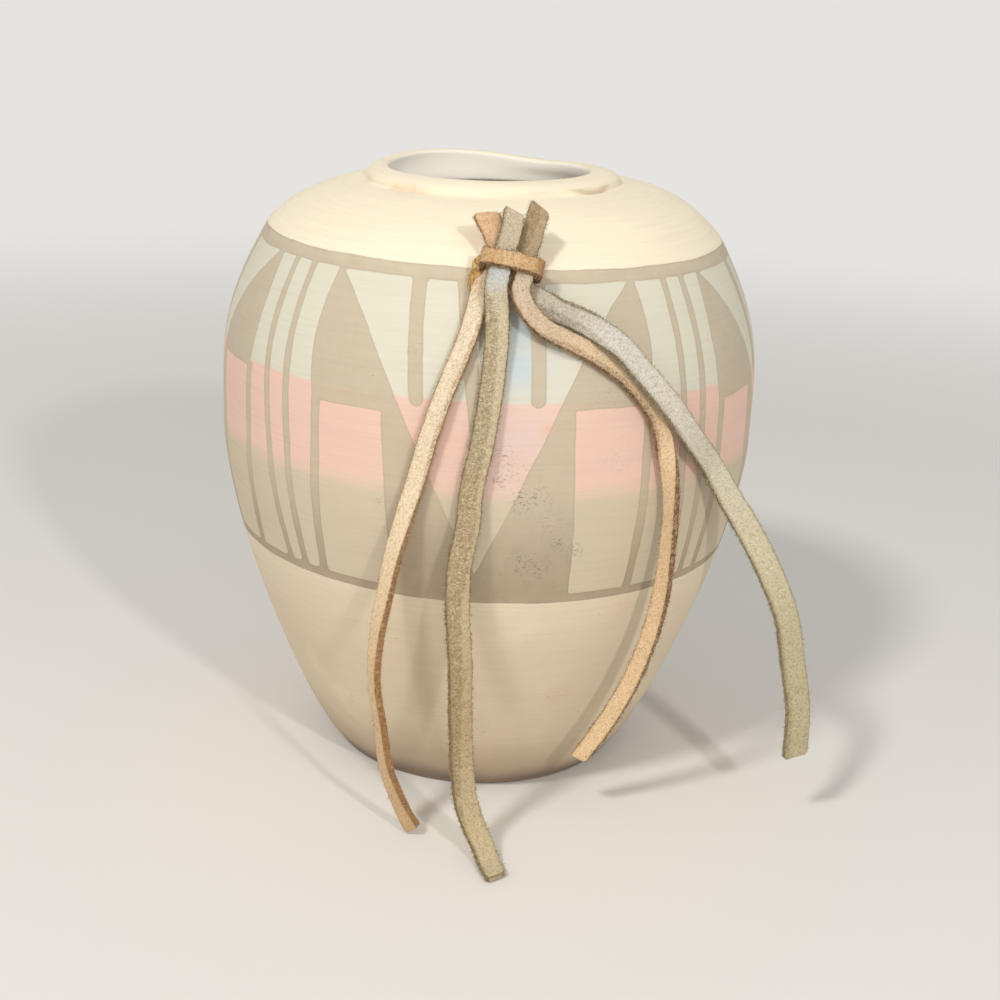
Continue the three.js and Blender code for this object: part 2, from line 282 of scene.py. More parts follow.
# %% The faces of a tube of rings
def quads_between_rings(rings, points):
    i = np.arange(rings - 1)[:, None] * points
    j = np.arange(points)[None, :]
    k = (j + 1) % points
    return np.stack([i + j, i + k, i + points + k, i + points + j], axis=-1).reshape(-1, 4).tolist()


def closed_tube(rings, points):
    """The faces of a tube of rings, with one face across each end."""
    ends = [list(range(points))[::-1], list(range((rings - 1) * points, rings * points))]
    return quads_between_rings(rings, points) + ends


# %% A piece made from a mesh
def make_piece(name, vertices, faces, values=None):
    """A smooth-shaded object of that mesh, with a number for each vertex in each named attribute."""
    mesh = bpy.data.meshes.new(name)
    mesh.from_pydata(np.asarray(vertices).tolist(), [], faces)
    for attribute, numbers in (values or {}).items():
        layer = mesh.attributes.new(attribute, "FLOAT", "POINT")
        layer.data.foreach_set("value", np.asarray(numbers, dtype=np.float32).ravel())
    mesh.polygons.foreach_set("use_smooth", [True] * len(mesh.polygons))
    piece = bpy.data.objects.new(name, mesh)
    bpy.context.scene.collection.objects.link(piece)
    return piece


# %% Roughness for a skin
SEED_SHIFT = (3.7, 1.3, 2.1)


def rough(points, size, seed):
    """Smooth noise from -1 to 1 at each point, with lumps of that size."""
    shift = Vector([seed * step for step in SEED_SHIFT])
    return np.array([noise.noise(Vector(p) / size + shift) for p in points.tolist()])


def smooth_step(low, high, value):
    t = np.clip((value - low) / (high - low), 0.0, 1.0)
    return t * t * (3 - 2 * t)


# %% [markdown]
# A lace isn't the same all along. Its stub fans out above the strip that binds it, the strip squeezes
# it, its ends are cut at a slant, and one side of it may be rougher than the other. Each of these is a
# short list of places from 0, at the stub, to 1, at the tip.

# %% How each lace differs along its length
TAN, OLIVE, GREY = "tan_leather", "olive_leather", "grey_leather"
LACES = {
    "lace_tan_left": {
        "width": TAN_WIDTH, "length": 0.1457, "slot": TAN, "seed": 1, "fold": 0.9 * MM,
        "start_slant": -0.14, "end_slant": 0.15, "rough_from": -1,
        "widths": [(0, 1.45), (0.03, 1.2), (0.07, 0.92), (0.12, 1.0), (0.6, 1.03), (1, 0.98)],
        "rough_side": [(0, 0.05), (0.13, 0.05), (0.19, 0.26), (0.34, 0.26), (0.45, 0.06), (1, 0.04)],
    },
    "lace_olive_centre": {
        "width": OLIVE_WIDTH, "length": 0.1516, "slot": OLIVE, "seed": 2, "fold": 0.0,
        "start_slant": -0.18, "end_slant": 0.2, "rough_from": 1,
        "widths": [(0, 0.84), (0.07, 0.84), (0.12, 0.94), (0.3, 0.94), (0.55, 1.0), (0.9, 1.0), (1, 0.9)],
        "rough_side": [(0, 0.1), (0.11, 0.1), (0.14, 0.5), (0.5, 0.9), (0.58, 0.6), (0.73, 0.5),
                       (0.82, 0.35), (0.9, 0.15), (1, 0.0)],
    },
    "lace_tan_right": {
        "width": TAN_WIDTH, "length": 0.1370, "slot": TAN, "seed": 3, "fold": 0.0,
        "start_slant": 0.0, "end_slant": 0.14, "rough_from": 1,
        "widths": [(0, 0.95), (0.1, 1.0), (0.9, 1.02), (1, 0.96)],
        "rough_side": [(0, 0.05), (0.1, 0.1), (0.16, 0.3), (0.36, 0.26), (0.44, 0.08), (1, 0.05)],
    },
    "lace_grey_right": {
        "width": GREY_WIDTH, "length": 0.1560, "slot": GREY, "seed": 4, "fold": 0.0,
        "start_slant": -0.22, "end_slant": 0.12, "rough_from": 1,
        "widths": [(0, 0.74), (0.09, 0.74), (0.16, 0.84), (0.3, 0.86), (0.5, 0.92), (0.75, 1.0), (1, 0.98)],
        "rough_side": [(0, 0.6), (0.1, 0.5), (0.13, 0.2), (0.16, 0.5), (0.2, 0.4), (0.28, 0.12),
                       (0.75, 0.1), (1, 0.2)],
    },
}

# %% Shape the ends of a lace
SLANT_REACH = 2.0 * MM
TIP_ROUND = 0.9 * MM
TIP_NARROWING = 0.22
STUB_SHARE = 0.05


def to_ends(places):
    return places, places[-1] - places


def end_slant(places, across, width, lace):
    """How far each point of a ring moves along the lace, so that both ends are cut at a slant."""
    start, end = (np.exp(-gap / SLANT_REACH) for gap in to_ends(places))
    lean = lace["start_slant"] * start + lace["end_slant"] * end
    return lean[:, None] * across[None, :] * width[:, None]


def end_narrowing(places):
    """How much of its width and thickness a lace keeps near its ends, whose corners are worn round."""
    nearest = np.minimum(*to_ends(places))
    return 1 - TIP_NARROWING * np.clip(1 - nearest / TIP_ROUND, 0, 1) ** 2


# %% How rough each point of a lace is
FACE_NAP = 0.07 * MM
ROUGH_NAP = 0.14 * MM
SIDE_NAP = 0.17 * MM
WAVES = 0.07 * MM
TUFT_SIZE = 0.42 * MM
FINE_TUFT_SIZE = 0.22 * MM
FINE_TUFTS = 0.6
WAVE_SIZE = 2.6 * MM
NEXT_SEED = 20
ZONE_EDGE = 0.12
LEAST_HEIGHT = 0.05 * MM


def rough_zone(share, across, lace):
    """1 on the rougher part of the face, which starts from one side and is as wide as the list says."""
    reach = np.interp(share, *zip(*lace["rough_side"]))
    edge = 1 - 2 * reach[:, None]
    return smooth_step(edge - ZONE_EDGE, edge + ZONE_EDGE, across[None, :] * lace["rough_from"])


def roughen(flat, outward, sides, zone, seed, waves=WAVES):
    """Moves each point out or in by fine tufts and long waves, but never below the floor."""
    tufts = rough(flat, TUFT_SIZE, seed) + FINE_TUFTS * rough(flat, FINE_TUFT_SIZE, seed + 2 * NEXT_SEED)
    reach = FACE_NAP + (ROUGH_NAP - FACE_NAP) * zone
    reach = reach * (1 - sides) + SIDE_NAP * sides
    push = reach * tufts + waves * (1 + sides) * rough(flat, WAVE_SIZE, seed + NEXT_SEED)
    flat = flat + outward * push[:, None]
    flat[:, 2] = np.maximum(flat[:, 2], LEAST_HEIGHT)
    return flat


# %% The mesh of a lace
def lace_mesh(name, lace):
    centres, way, out, side, places = lace_line(ROUTES[name])
    share = places / places[-1]
    kept = end_narrowing(places)
    width = lace["width"] * np.interp(share, *zip(*lace["widths"])) * kept
    across, through, cut = section.T
    fold = lace["fold"] * (1 - smooth_step(0.0, STUB_SHARE, share))
    depth = through[None, :] * LACE_THICKNESS / 2 * kept[:, None] - fold[:, None] * np.abs(across)[None, :]
    points, look = carried(centres, out, side, depth, across[None, :] * width[:, None] / 2)
    points = points + way[:, None, :] * end_slant(places, across, width, lace)[:, :, None]
    outward = unit(look)
    sides = np.tile(cut, len(centres))
    zone = rough_zone(share, across, lace).ravel()
    flat = roughen(points.reshape(-1, 3), outward, sides, zone, lace["seed"])
    values = {"along": np.repeat(share, len(section)), "cut_side": sides, "rough_zone": zone}
    return flat, closed_tube(len(centres), len(section)), values, centres, outward


# %% [markdown]
# Loose fibres stand up from the cut sides of suede. Blender's own hair would show them only in Blender,
# so each fibre here is a thin tapered mesh of three sides, bent once, and all the fibres of a lace are
# one piece. They are made all at once, as rows of numbers, because a loop over thousands is slow.

# %% Loose fibres: each ring's place along the fibre and its share of the thickness
FIBRE_SIDES = 3
FIBRE_RINGS = ((-0.15, 1.0), (0.4, 0.8), (0.8, 0.45))
FIBRE_BEND = 0.4
ASLANT = (0.31, 0.57, 0.76)


def fibre_faces(count):
    ring = np.arange(FIBRE_SIDES)
    following = (ring + 1) % FIBRE_SIDES
    last = FIBRE_SIDES * (len(FIBRE_RINGS) - 1)
    wall = np.stack([ring, following, following + FIBRE_SIDES, ring + FIBRE_SIDES], axis=1)
    walls = np.concatenate([wall + k for k in range(0, last, FIBRE_SIDES)])
    tip = np.stack([ring + last, following + last, np.full(FIBRE_SIDES, last + FIBRE_SIDES)], axis=1)
    start = np.arange(count)[:, None, None] * (last + FIBRE_SIDES + 1)
    quads = (start + walls[None]).reshape(-1, 4).tolist()
    return quads + (start + np.concatenate([tip, ring[None, ::-1]])[None]).reshape(-1, 3).tolist()


def fibre_mesh(name, roots, ways, lengths, radii):
    """Thin tapered hairs, each from a root along a way that bends as it goes."""
    ways = unit(ways)
    bends = random.normal(0.0, FIBRE_BEND, ways.shape) * lengths[:, None]
    first = unit(np.cross(ways, ASLANT))
    second = np.cross(ways, first)
    layers = []
    for t, thick in FIBRE_RINGS:
        centres = roots + ways * lengths[:, None] * t + bends * max(t, 0.0) ** 2
        for angle in np.arange(FIBRE_SIDES) * 2 * math.pi / FIBRE_SIDES:
            spoke = first * math.cos(angle) + second * math.sin(angle)
            layers.append(centres + spoke * radii[:, None] * thick)
    layers.append(roots + ways * lengths[:, None] + bends)
    vertices = np.stack(layers, axis=1).reshape(-1, 3)
    vertices[:, 2] = np.maximum(vertices[:, 2], LEAST_HEIGHT)
    return make_piece(name, vertices, fibre_faces(len(roots)))


# %% Where fibres stand on a lace
FIBRE_RADIUS = 0.045 * MM
FIBRE_LENGTHS = (0.25 * MM, 0.7 * MM)
FIBRE_THICKNESSES = (0.6, 1.2)
FIBRE_LEAN = 0.55
ON_THE_FACE = 0.04
ON_THE_ROUGH = 0.22
LONG_FIBRES = 0.012
LONG_STRETCH = 2.6
LONG_THINNESS = 0.5


def lace_fibres(name, flat, sides, zone, outward, count):
    """Most fibres stand on the cut sides, some on the rough part, and a few on the smooth face."""
    chance = ON_THE_FACE + sides ** 2 + ON_THE_ROUGH * zone
    chosen = random.choice(len(flat), size=count, p=chance / chance.sum())
    lean = random.normal(0.0, FIBRE_LEAN, (count, 3))
    lengths = random.uniform(*FIBRE_LENGTHS, count)
    radii = random.uniform(*FIBRE_THICKNESSES, count) * FIBRE_RADIUS
    long_ones = random.random(count) < LONG_FIBRES
    lengths[long_ones] *= LONG_STRETCH
    radii[long_ones] *= LONG_THINNESS
    return fibre_mesh(name, flat[chosen], outward[chosen] + lean, lengths, radii)


# %% Make the four laces
FIBRES_A_LACE = 4200
lace_pieces = {}
fibre_pieces = {}
centre_lines = {}
for name, lace in LACES.items():
    flat, faces, values, centre_lines[name], outward = lace_mesh(name, lace)
    lace_pieces[name] = make_piece(name + "_suede", flat, faces, values)
    fibre_pieces[name] = lace_fibres(
        name + "_fibres", flat, values["cut_side"], values["rough_zone"], outward, FIBRES_A_LACE
    )
    for part in (lace_pieces[name], fibre_pieces[name]):
        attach(part, BODY)
    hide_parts(name)
    print(name, "has", len(flat), "vertices")

# %% [markdown]
# ## The binding strip
#
# A short strip of the same tan suede goes once round the laces and holds them flat against the shoulder.
# It is made as the laces are: the same section is carried round a closed path, a rectangle with round
# corners that lies square to the laces. The path's corners are where the strip is pulled tight.

# %% The seat of the tassel: across the strip, along the laces and straight out of the wall
SEAT_AZIMUTH = math.radians(3.7)
SEAT_LEAN = math.radians(12.0)
seat_rise = float(wall_slope(SEAT_HEIGHT))
level = Vector((math.cos(SEAT_AZIMUTH), math.sin(SEAT_AZIMUTH), 0.0))
outward_level = Vector((math.sin(SEAT_AZIMUTH), -math.cos(SEAT_AZIMUTH), 0.0))
seat_out = outward_level * math.cos(seat_rise) + Vector((0.0, 0.0, math.sin(seat_rise)))
lean = Matrix.Rotation(-SEAT_LEAN, 3, seat_out)
seat_ways = np.array([lean @ level, lean @ seat_out.cross(level), seat_out])
seat_origin = np.array(outward_level * float(wall_radius(SEAT_HEIGHT)) + Vector((0.0, 0.0, SEAT_HEIGHT)))


def from_seat(rows):
    return seat_origin + np.asarray(rows) @ seat_ways


print("The seat is at", (seat_origin / MM).round(1), "mm")

# %% The path of the strip round the laces
CLEARANCE = 0.3 * MM
WRAP_WIDTH = 3.4 * MM
WRAP_THICKNESS = 1.1 * MM
WRAP_CORNER = 1.0 * MM
GLUE_THICKNESS = 0.6 * MM
BUNDLE_SLACK = 1.3 * MM
LACE_LAYERS = 2
STRIP_STEP = 0.2 * MM


def arc(centre, radius, from_degrees, to_degrees, steps):
    angles = np.radians(np.linspace(from_degrees, to_degrees, steps + 1))
    return np.stack([centre[0] + radius * np.cos(angles), centre[1] + radius * np.sin(angles)], axis=1)


def strip_path():
    """The strip's middle line in the seat's own directions, and the way that each point looks."""
    half_width = (TAN_WIDTH + GREY_WIDTH + BUNDLE_SLACK + WRAP_THICKNESS) / 2
    low = 2 * CLEARANCE + GLUE_THICKNESS + WRAP_THICKNESS / 2
    high = low + LACE_LAYERS * LACE_THICKNESS + (LACE_LAYERS + 1) * CLEARANCE + WRAP_THICKNESS
    radius = WRAP_CORNER + WRAP_THICKNESS / 2
    inner_side = half_width - radius
    corners = [
        ((inner_side, low + radius), -90), ((inner_side, high - radius), 0),
        ((-inner_side, high - radius), 90), ((-inner_side, low + radius), 180),
    ]
    points = np.concatenate([arc(centre, radius, turn, turn + 90, steps=10) for centre, turn in corners])
    closed = np.concatenate([points, points[:1]])
    knots = distances(closed)
    places = np.linspace(0.0, knots[-1], int(knots[-1] / STRIP_STEP), endpoint=False)
    line = np.stack([np.interp(places, knots, closed[:, k]) for k in (0, 1)], axis=1)
    way = np.roll(line, -1, axis=0) - np.roll(line, 1, axis=0)
    look = unit(np.stack([way[:, 1], -way[:, 0]], axis=1))
    return np.insert(line, 1, 0.0, axis=1), np.insert(look, 1, 0.0, axis=1)


# %% Carry the section round the strip's path
STRIP_SEED = 31
STRIP_WAVES = 0.17 * MM
STRIP_ROUGHNESS = 0.45
STRIP_FIBRES = 1500
STRIP_BOW = 0.25 * MM
FRONT_LOOK = 0.5
WANDER = 0.12 * MM
WANDER_RATE = 4.0
WANDER_START = 0.7


def make_strip():
    line, look = strip_path()
    across, through, cut = section.T
    place = line[:, 0] / np.abs(line[:, 0]).max()
    wander = WANDER * np.sin(WANDER_RATE * place + WANDER_START)
    bow = STRIP_BOW * (1 - place ** 2) * (look[:, 2] > FRONT_LOOK)
    depth = through[None, :] * WRAP_THICKNESS / 2 + bow[:, None]
    reach = across[None, :] * WRAP_WIDTH / 2 + wander[:, None]
    rows, skin = carried(line, look, np.tile([0.0, 1.0, 0.0], (len(line), 1)), depth, reach)
    outward = unit(skin @ seat_ways)
    sides = np.tile(cut, len(line))
    zone = np.full(len(sides), STRIP_ROUGHNESS)
    flat = roughen(from_seat(rows.reshape(-1, 3)), outward, sides, zone, STRIP_SEED, STRIP_WAVES)
    count = len(section)
    last = (len(line) - 1) * count
    faces = quads_between_rings(len(line), count)
    faces += [[last + j, last + (j + 1) % count, (j + 1) % count, j] for j in range(count)]
    values = {"along": np.repeat((place + 1) / 2, count), "cut_side": sides, "rough_zone": zone}
    strip = make_piece("binding_strip", flat, faces, values)
    return strip, lace_fibres("binding_strip_fibres", flat, sides, zone, outward, STRIP_FIBRES)


strip, strip_fibres = make_strip()
for part in (strip, strip_fibres):
    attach(part, BODY)
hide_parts("binding_wrap")
print("The strip has", len(strip.data.vertices), "vertices")

# %% [markdown]
# The laces are free cords: each hangs from the strip and ends in a bare cut tip. The whole of each one
# is in view, so its length is the one that was measured.

for name, lace in LACES.items():
    print(name, "is", round(lace["length"] / MM, 1), "mm long")

# %% [markdown]
# ## The glue
#
# A dab of clear glue that has yellowed holds the tassel. It spread into a flat puddle under the strip,
# and a bead of it was squeezed out at the lower left, where it dried with fibres in it. Both shapes are
# rough balls pressed flat on the wall, and a voxel remesh melts them into one skin, as glue does.

# %% How deep the curved wall lies below the seat's plane
DEPTHS = (-6.0 * MM, 3.0 * MM)
HALVINGS = 24


def wall_depth(rows):
    low, high = (np.full(len(rows), depth) for depth in DEPTHS)
    for _ in range(HALVINGS):
        middle = (low + high) / 2
        places = from_seat(np.column_stack([rows[:, 0], rows[:, 1], middle]))
        outside = np.hypot(places[:, 0], places[:, 1]) > wall_radius(places[:, 2])
        high = np.where(outside, middle, high)
        low = np.where(outside, low, middle)
    return high


# %% A ball in the seat's own directions
POLE_GAP = 0.04


def ball(radii, place, rings=26, points=44):
    polar = np.linspace(POLE_GAP, math.pi - POLE_GAP, rings)[:, None]
    turn = np.linspace(0.0, 2 * math.pi, points, endpoint=False)[None, :]
    sphere = (np.sin(polar) * np.cos(turn), np.sin(polar) * np.sin(turn), np.cos(polar))
    rows = np.stack(np.broadcast_arrays(*sphere), axis=-1).reshape(-1, 3)
    return rows * np.array(radii) + np.array(place), closed_tube(rings, points)


# %% Melt a piece into one skin
GLUE_VOXEL = 0.15 * MM


def melted(piece):
    """Replaces the piece's mesh with one even skin round all of it."""
    melt = piece.modifiers.new("melt", "REMESH")
    melt.mode = "VOXEL"
    melt.voxel_size = GLUE_VOXEL
    ease = piece.modifiers.new("ease", "SMOOTH")
    ease.iterations = 5
    graph = bpy.context.evaluated_depsgraph_get()
    skin = bpy.data.meshes.new_from_object(piece.evaluated_get(graph))
    piece.modifiers.clear()
    piece.data = skin
    skin.polygons.foreach_set("use_smooth", [True] * len(skin.polygons))
    return piece


# %% The puddle and the bead
PUDDLE_RADII = (7.0 * MM, 4.3 * MM, 1.0 * MM)
PUDDLE_PLACE = (-1.2 * MM, 0.0, 0.0)
BEAD_RADII = (1.9 * MM, 3.1 * MM, 1.7 * MM)
BEAD_PLACE = (-6.1 * MM, -4.0 * MM, 1.1 * MM)
BEAD_TAPER = 0.35
BEAD_LUMP_SIZE = 0.9 * MM
BEAD_LUMP_DEPTH = 0.16 * MM
BEAD_SEED = 61


def make_glue():
    puddle, puddle_faces = ball(PUDDLE_RADII, PUDDLE_PLACE)
    puddle[:, 2] = np.clip(puddle[:, 2], 0.0, GLUE_THICKNESS)
    bead, bead_faces = ball(BEAD_RADII, BEAD_PLACE)
    taper = 1 + BEAD_TAPER * (bead[:, 1] - BEAD_PLACE[1]) / BEAD_RADII[1]
    bead[:, 0] = BEAD_PLACE[0] + (bead[:, 0] - BEAD_PLACE[0]) * taper
    bead += rough(bead, BEAD_LUMP_SIZE, BEAD_SEED)[:, None] * BEAD_LUMP_DEPTH
    bead[:, 2] = np.clip(bead[:, 2], 0.0, None)
    rows = np.concatenate([puddle, bead])
    rows[:, 2] += CLEARANCE + wall_depth(rows)
    faces = puddle_faces + [[i + len(puddle) for i in face] for face in bead_faces]
    glue = melted(make_piece("glue_dab_skin", from_seat(rows), faces))
    return glue, from_seat(rows[len(puddle):])


glue, bead_surface = make_glue()
print("The glue has", len(glue.data.vertices), "vertices")

# %% Fibres caught in the bead
GLUE_FIBRES = 420
GLUE_FIBRE_LENGTHS = (0.5 * MM, 1.3 * MM)
GLUE_FIBRE_THICKNESSES = (0.5, 1.1)
GLUE_FIBRE_LEAN = 0.3
GLUE_FIBRE_LIFT = 0.25


def make_glue_fibres():
    """Hairs that point down the wall from the bead and stand a little away from it."""
    chosen = random.choice(len(bead_surface), GLUE_FIBRES)
    ways = -seat_ways[1] + random.normal(0.0, GLUE_FIBRE_LEAN, (GLUE_FIBRES, 3))
    lengths = random.uniform(*GLUE_FIBRE_LENGTHS, GLUE_FIBRES)
    radii = random.uniform(*GLUE_FIBRE_THICKNESSES, GLUE_FIBRES) * FIBRE_RADIUS
    return fibre_mesh(
        "glue_fibres", bead_surface[chosen], ways + seat_ways[2] * GLUE_FIBRE_LIFT, lengths, radii
    )


glue_fibres = make_glue_fibres()
for part in (glue, glue_fibres):
    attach(part, BODY)
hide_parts("glue_dab")

# %% [markdown]
# ## The pot
#
# The pot was cast in a mould and its neck was trimmed by hand, so it is almost a true turned shape. A
# lathe modifier would do for the body, but the neck leans a little to the left and the rim dips at the
# back. So the outline is turned in numbers, which can be bent afterwards, and each vertex can be told
# where it lies in the painted band.

# %% The collar, from the dome's top over the rim to the mouth
LIP_ROUND = 0.9 * MM
RIM_HEIGHT = DOME_HEIGHT + COLLAR_HEIGHT
STEP_RISE = 0.35 * MM
STEP_PULL_OUT = (-0.7 * MM, 0.05 * MM)
STEP_PULL_IN = (0.4 * MM, -0.15 * MM)
PILLOW_PULL_LOW = (-0.2 * MM, 1.9 * MM)
PILLOW_PULL_HIGH = (3.2 * MM, 0.1 * MM)


def collar_line(dome_top):
    """A soft step, then a pillow with a steep outer side that rises to a fairly sharp inner edge."""
    base = (dome_top[0] - STEP_WIDTH, dome_top[1] + STEP_RISE)
    crown = (MOUTH_RADIUS + LIP_ROUND, RIM_HEIGHT)
    step = bezier(dome_top, STEP_PULL_OUT, STEP_PULL_IN, base, steps=8)
    pillow = bezier(base, PILLOW_PULL_LOW, PILLOW_PULL_HIGH, crown, steps=22)
    edge = arc((crown[0], crown[1] - LIP_ROUND), LIP_ROUND, 90, 180, steps=8)
    return np.concatenate([step[1:], pillow[1:], edge[1:]])


# %% The inside, from the mouth down to the floor
WALL_THICKNESS = 5.0 * MM
FLOOR_THICKNESS = 6.0 * MM
FLOOR_FILLET = 6.0 * MM
THROAT_LOW = 135.6 * MM
THROAT_ROUND = (1.5 * MM, -0.3 * MM)
ABOVE_THROAT = 1.0 * MM
UNDER_LIP = 0.5 * MM
BEYOND_MOUTH = 5.0 * MM
AXIS_GAP = 0.4 * MM


def offset_inwards(line, distance):
    way = unit(np.gradient(line, axis=0))
    return np.stack([line[:, 0] - way[:, 1] * distance, line[:, 1] + way[:, 0] * distance], axis=1)


def inside_line(wall):
    inner = offset_inwards(wall, WALL_THICKNESS)[::-1]
    above_floor = inner[:, 1] > FLOOR_THICKNESS + FLOOR_FILLET
    inner = inner[above_floor & (inner[:, 0] > MOUTH_RADIUS + BEYOND_MOUTH)]
    heights = np.linspace(RIM_HEIGHT - LIP_ROUND - UNDER_LIP, THROAT_LOW + ABOVE_THROAT, 6)
    straight = np.column_stack([np.full(len(heights), MOUTH_RADIUS), heights])
    throat = np.array([MOUTH_RADIUS, THROAT_LOW])
    turn = bezier(straight[-1], throat - straight[-1], throat + THROAT_ROUND - inner[0], inner[0], steps=8)
    fillet_at = (inner[-1][0] - FLOOR_FILLET, FLOOR_THICKNESS + FLOOR_FILLET)
    fillet = arc(fillet_at, FLOOR_FILLET, -10, -90, steps=8)
    floor = np.linspace((fillet_at[0], FLOOR_THICKNESS), (AXIS_GAP, FLOOR_THICKNESS), 8)
    return np.concatenate([straight, turn[1:], inner[1:], fillet, floor[1:]])


# %% The whole outline
FOOT_EDGE = 0.8 * MM


def pot_outline():
    wall = wall_outline(lower_steps=80, upper_steps=96, dome_steps=50)
    flat_radii = np.linspace(AXIS_GAP, FOOT_RADIUS - FOOT_EDGE, 9)
    foot = np.column_stack([flat_radii, np.zeros(len(flat_radii))])
    foot_round = arc((FOOT_RADIUS, FOOT_ROUND), FOOT_ROUND, -90, -12, steps=7)
    return np.concatenate([foot, foot_round, wall, collar_line(wall[-1])]), inside_line(wall)


outside, hollow = pot_outline()
print("The outline has", len(outside), "points outside and", len(hollow), "inside")

# %% [markdown]
# ## The painted band
#
# The band is a common kind of geometric border. Behind it lie three soft sprayed zones, mint, pink and
# beige. In front, taupe shapes repeat four times round the pot: a deep V between two half leaves, with
# three short bars hanging in it, and two stripes before the next V. A picture could be wrapped round
# the pot, but it would blur close up. Here each vertex stores its distance to the nearest painted edge,
# and the material turns that distance into a crisp brushed edge.

# %% Places of the painted shapes: degrees round from the middle of a V, and heights
REPEATS = 4
V_AZIMUTH = -1.2
UPPER_LINE = (125.7 * MM, 128.4 * MM)
LOWER_LINE = (56.4 * MM, 58.4 * MM)
LOWER_LINE_LIFT = 0.8 * MM
V_POINT = 63.5 * MM
V_SPREAD = {"left": 26.5, "right": 24.5}
V_FLARE = 7.5
FLARE_POWER = 7
LEAF_SIDE = {"left": 35.9, "right": 34.9}
LEAF_BOW = 1.2
LEAF_BOW_START = -0.7
LEAF_FOOT = {"left": 98.6 * MM, "right": 100.8 * MM}
STALK_AT = 34.1
STALK_HALF = 1.1
PANEL_SIDE = {"left": 19.3, "right": 18.0}
PANEL_FLARE = {"left": -2.3, "right": 2.0}
PANEL_OVERLAP = 1.0 * MM
STRIPES = {"first": (-3.3, 0.8, 1.4), "second": (2.8, 5.6, 1.1)}
STRIPE_HALF = 0.95
BARS = {
    "left": (-14.8, -12.3, 100.4 * MM), "middle": (-4.6, 0.4, 90.0 * MM), "right": (10.8, 10.8, 101.4 * MM),
}
BAR_HALF = 1.65 * MM


def by_side(side, pair):
    return np.where(side < 0, pair["left"], pair["right"])


# %% Distance to the edges of the V, the half leaves and the panels below them
def leaf_distance(azimuth, height, arc_length):
    """Positive inside the taupe. azimuth is in degrees from the middle of the V, the rest in metres."""
    side = np.where(azimuth < 0, -1, 1)
    out = np.abs(azimuth)
    tall = UPPER_LINE[0] - V_POINT
    rise = np.clip((height - V_POINT) / tall, 0.0, 1.0)
    spread = by_side(side, V_SPREAD)
    v_edge = spread * rise + V_FLARE * rise ** FLARE_POWER
    widening = spread + FLARE_POWER * V_FLARE * rise ** (FLARE_POWER - 1)
    v_slope = widening * np.radians(BELLY_RADIUS) / tall
    beyond_v = (out - v_edge) * arc_length / np.sqrt(1 + v_slope ** 2)
    beyond_v = np.where(height < V_POINT, np.maximum(beyond_v, V_POINT - height), beyond_v)
    foot = by_side(side, LEAF_FOOT)
    up_leaf = np.clip((height - foot) / (UPPER_LINE[0] - foot), 0.0, 1.0)
    leaf_side = by_side(side, LEAF_SIDE) + LEAF_BOW * (4 * up_leaf * (1 - up_leaf) + LEAF_BOW_START)
    leaf = np.minimum(np.minimum(beyond_v, (leaf_side - out) * arc_length), height - foot)
    drop = np.clip((foot - height) / (foot - LOWER_LINE[1]), 0.0, 1.0)
    panel = by_side(side, PANEL_SIDE) + by_side(side, PANEL_FLARE) * drop
    below_foot = foot + PANEL_OVERLAP - height
    triangle = np.minimum(np.minimum(beyond_v, (panel - out) * arc_length), below_foot)
    stalk = np.minimum((STALK_HALF - np.abs(out - STALK_AT)) * arc_length, below_foot)
    return np.max([leaf, triangle, stalk], axis=0)


# %% Distance to the edges of the bars and the stripes
def bar_distance(azimuth, height, arc_length):
    shapes = []
    for top, bottom, low in BARS.values():
        place = bottom + (top - bottom) * (height - low) / (UPPER_LINE[0] - low)
        end = np.maximum(low + BAR_HALF - height, 0.0)
        shapes.append(BAR_HALF - np.hypot((azimuth - place) * arc_length, end))
    return np.max(shapes, axis=0)


def stripe_distance(azimuth, height, arc_length, round_from_front):
    """The two stripes between one V and the next, which drift a little from one gap to another."""
    between = azimuth - np.where(azimuth < 0, -1, 1) * 180 / REPEATS
    down = np.clip((UPPER_LINE[0] - height) / (UPPER_LINE[0] - LOWER_LINE[1]), 0.0, 1.0)
    shapes = []
    for top, bottom, drift in STRIPES.values():
        place = top + (bottom - top) * down ** 2 + drift * np.sin(round_from_front) * (1 - down ** 2)
        shapes.append((STRIPE_HALF - np.abs(between - place)) * arc_length)
    return np.max(shapes, axis=0)


# %% Distance to the nearest edge of any taupe shape
def taupe_distance(azimuth, height, radius, round_from_front):
    arc_length = np.radians(1.0) * radius
    shapes = np.max([
        leaf_distance(azimuth, height, arc_length),
        bar_distance(azimuth, height, arc_length),
        stripe_distance(azimuth, height, arc_length, round_from_front),
    ], axis=0)
    lift = LOWER_LINE_LIFT * np.maximum(0.0, -np.sin(round_from_front))
    levels = (UPPER_LINE, (LOWER_LINE[0] + lift, LOWER_LINE[1] + lift))
    in_band = np.minimum(height - levels[1][0], UPPER_LINE[1] - height)
    lines = [(high - low) / 2 - np.abs(height - (high + low) / 2) for low, high in levels]
    return np.max([np.minimum(shapes, in_band), *lines], axis=0)
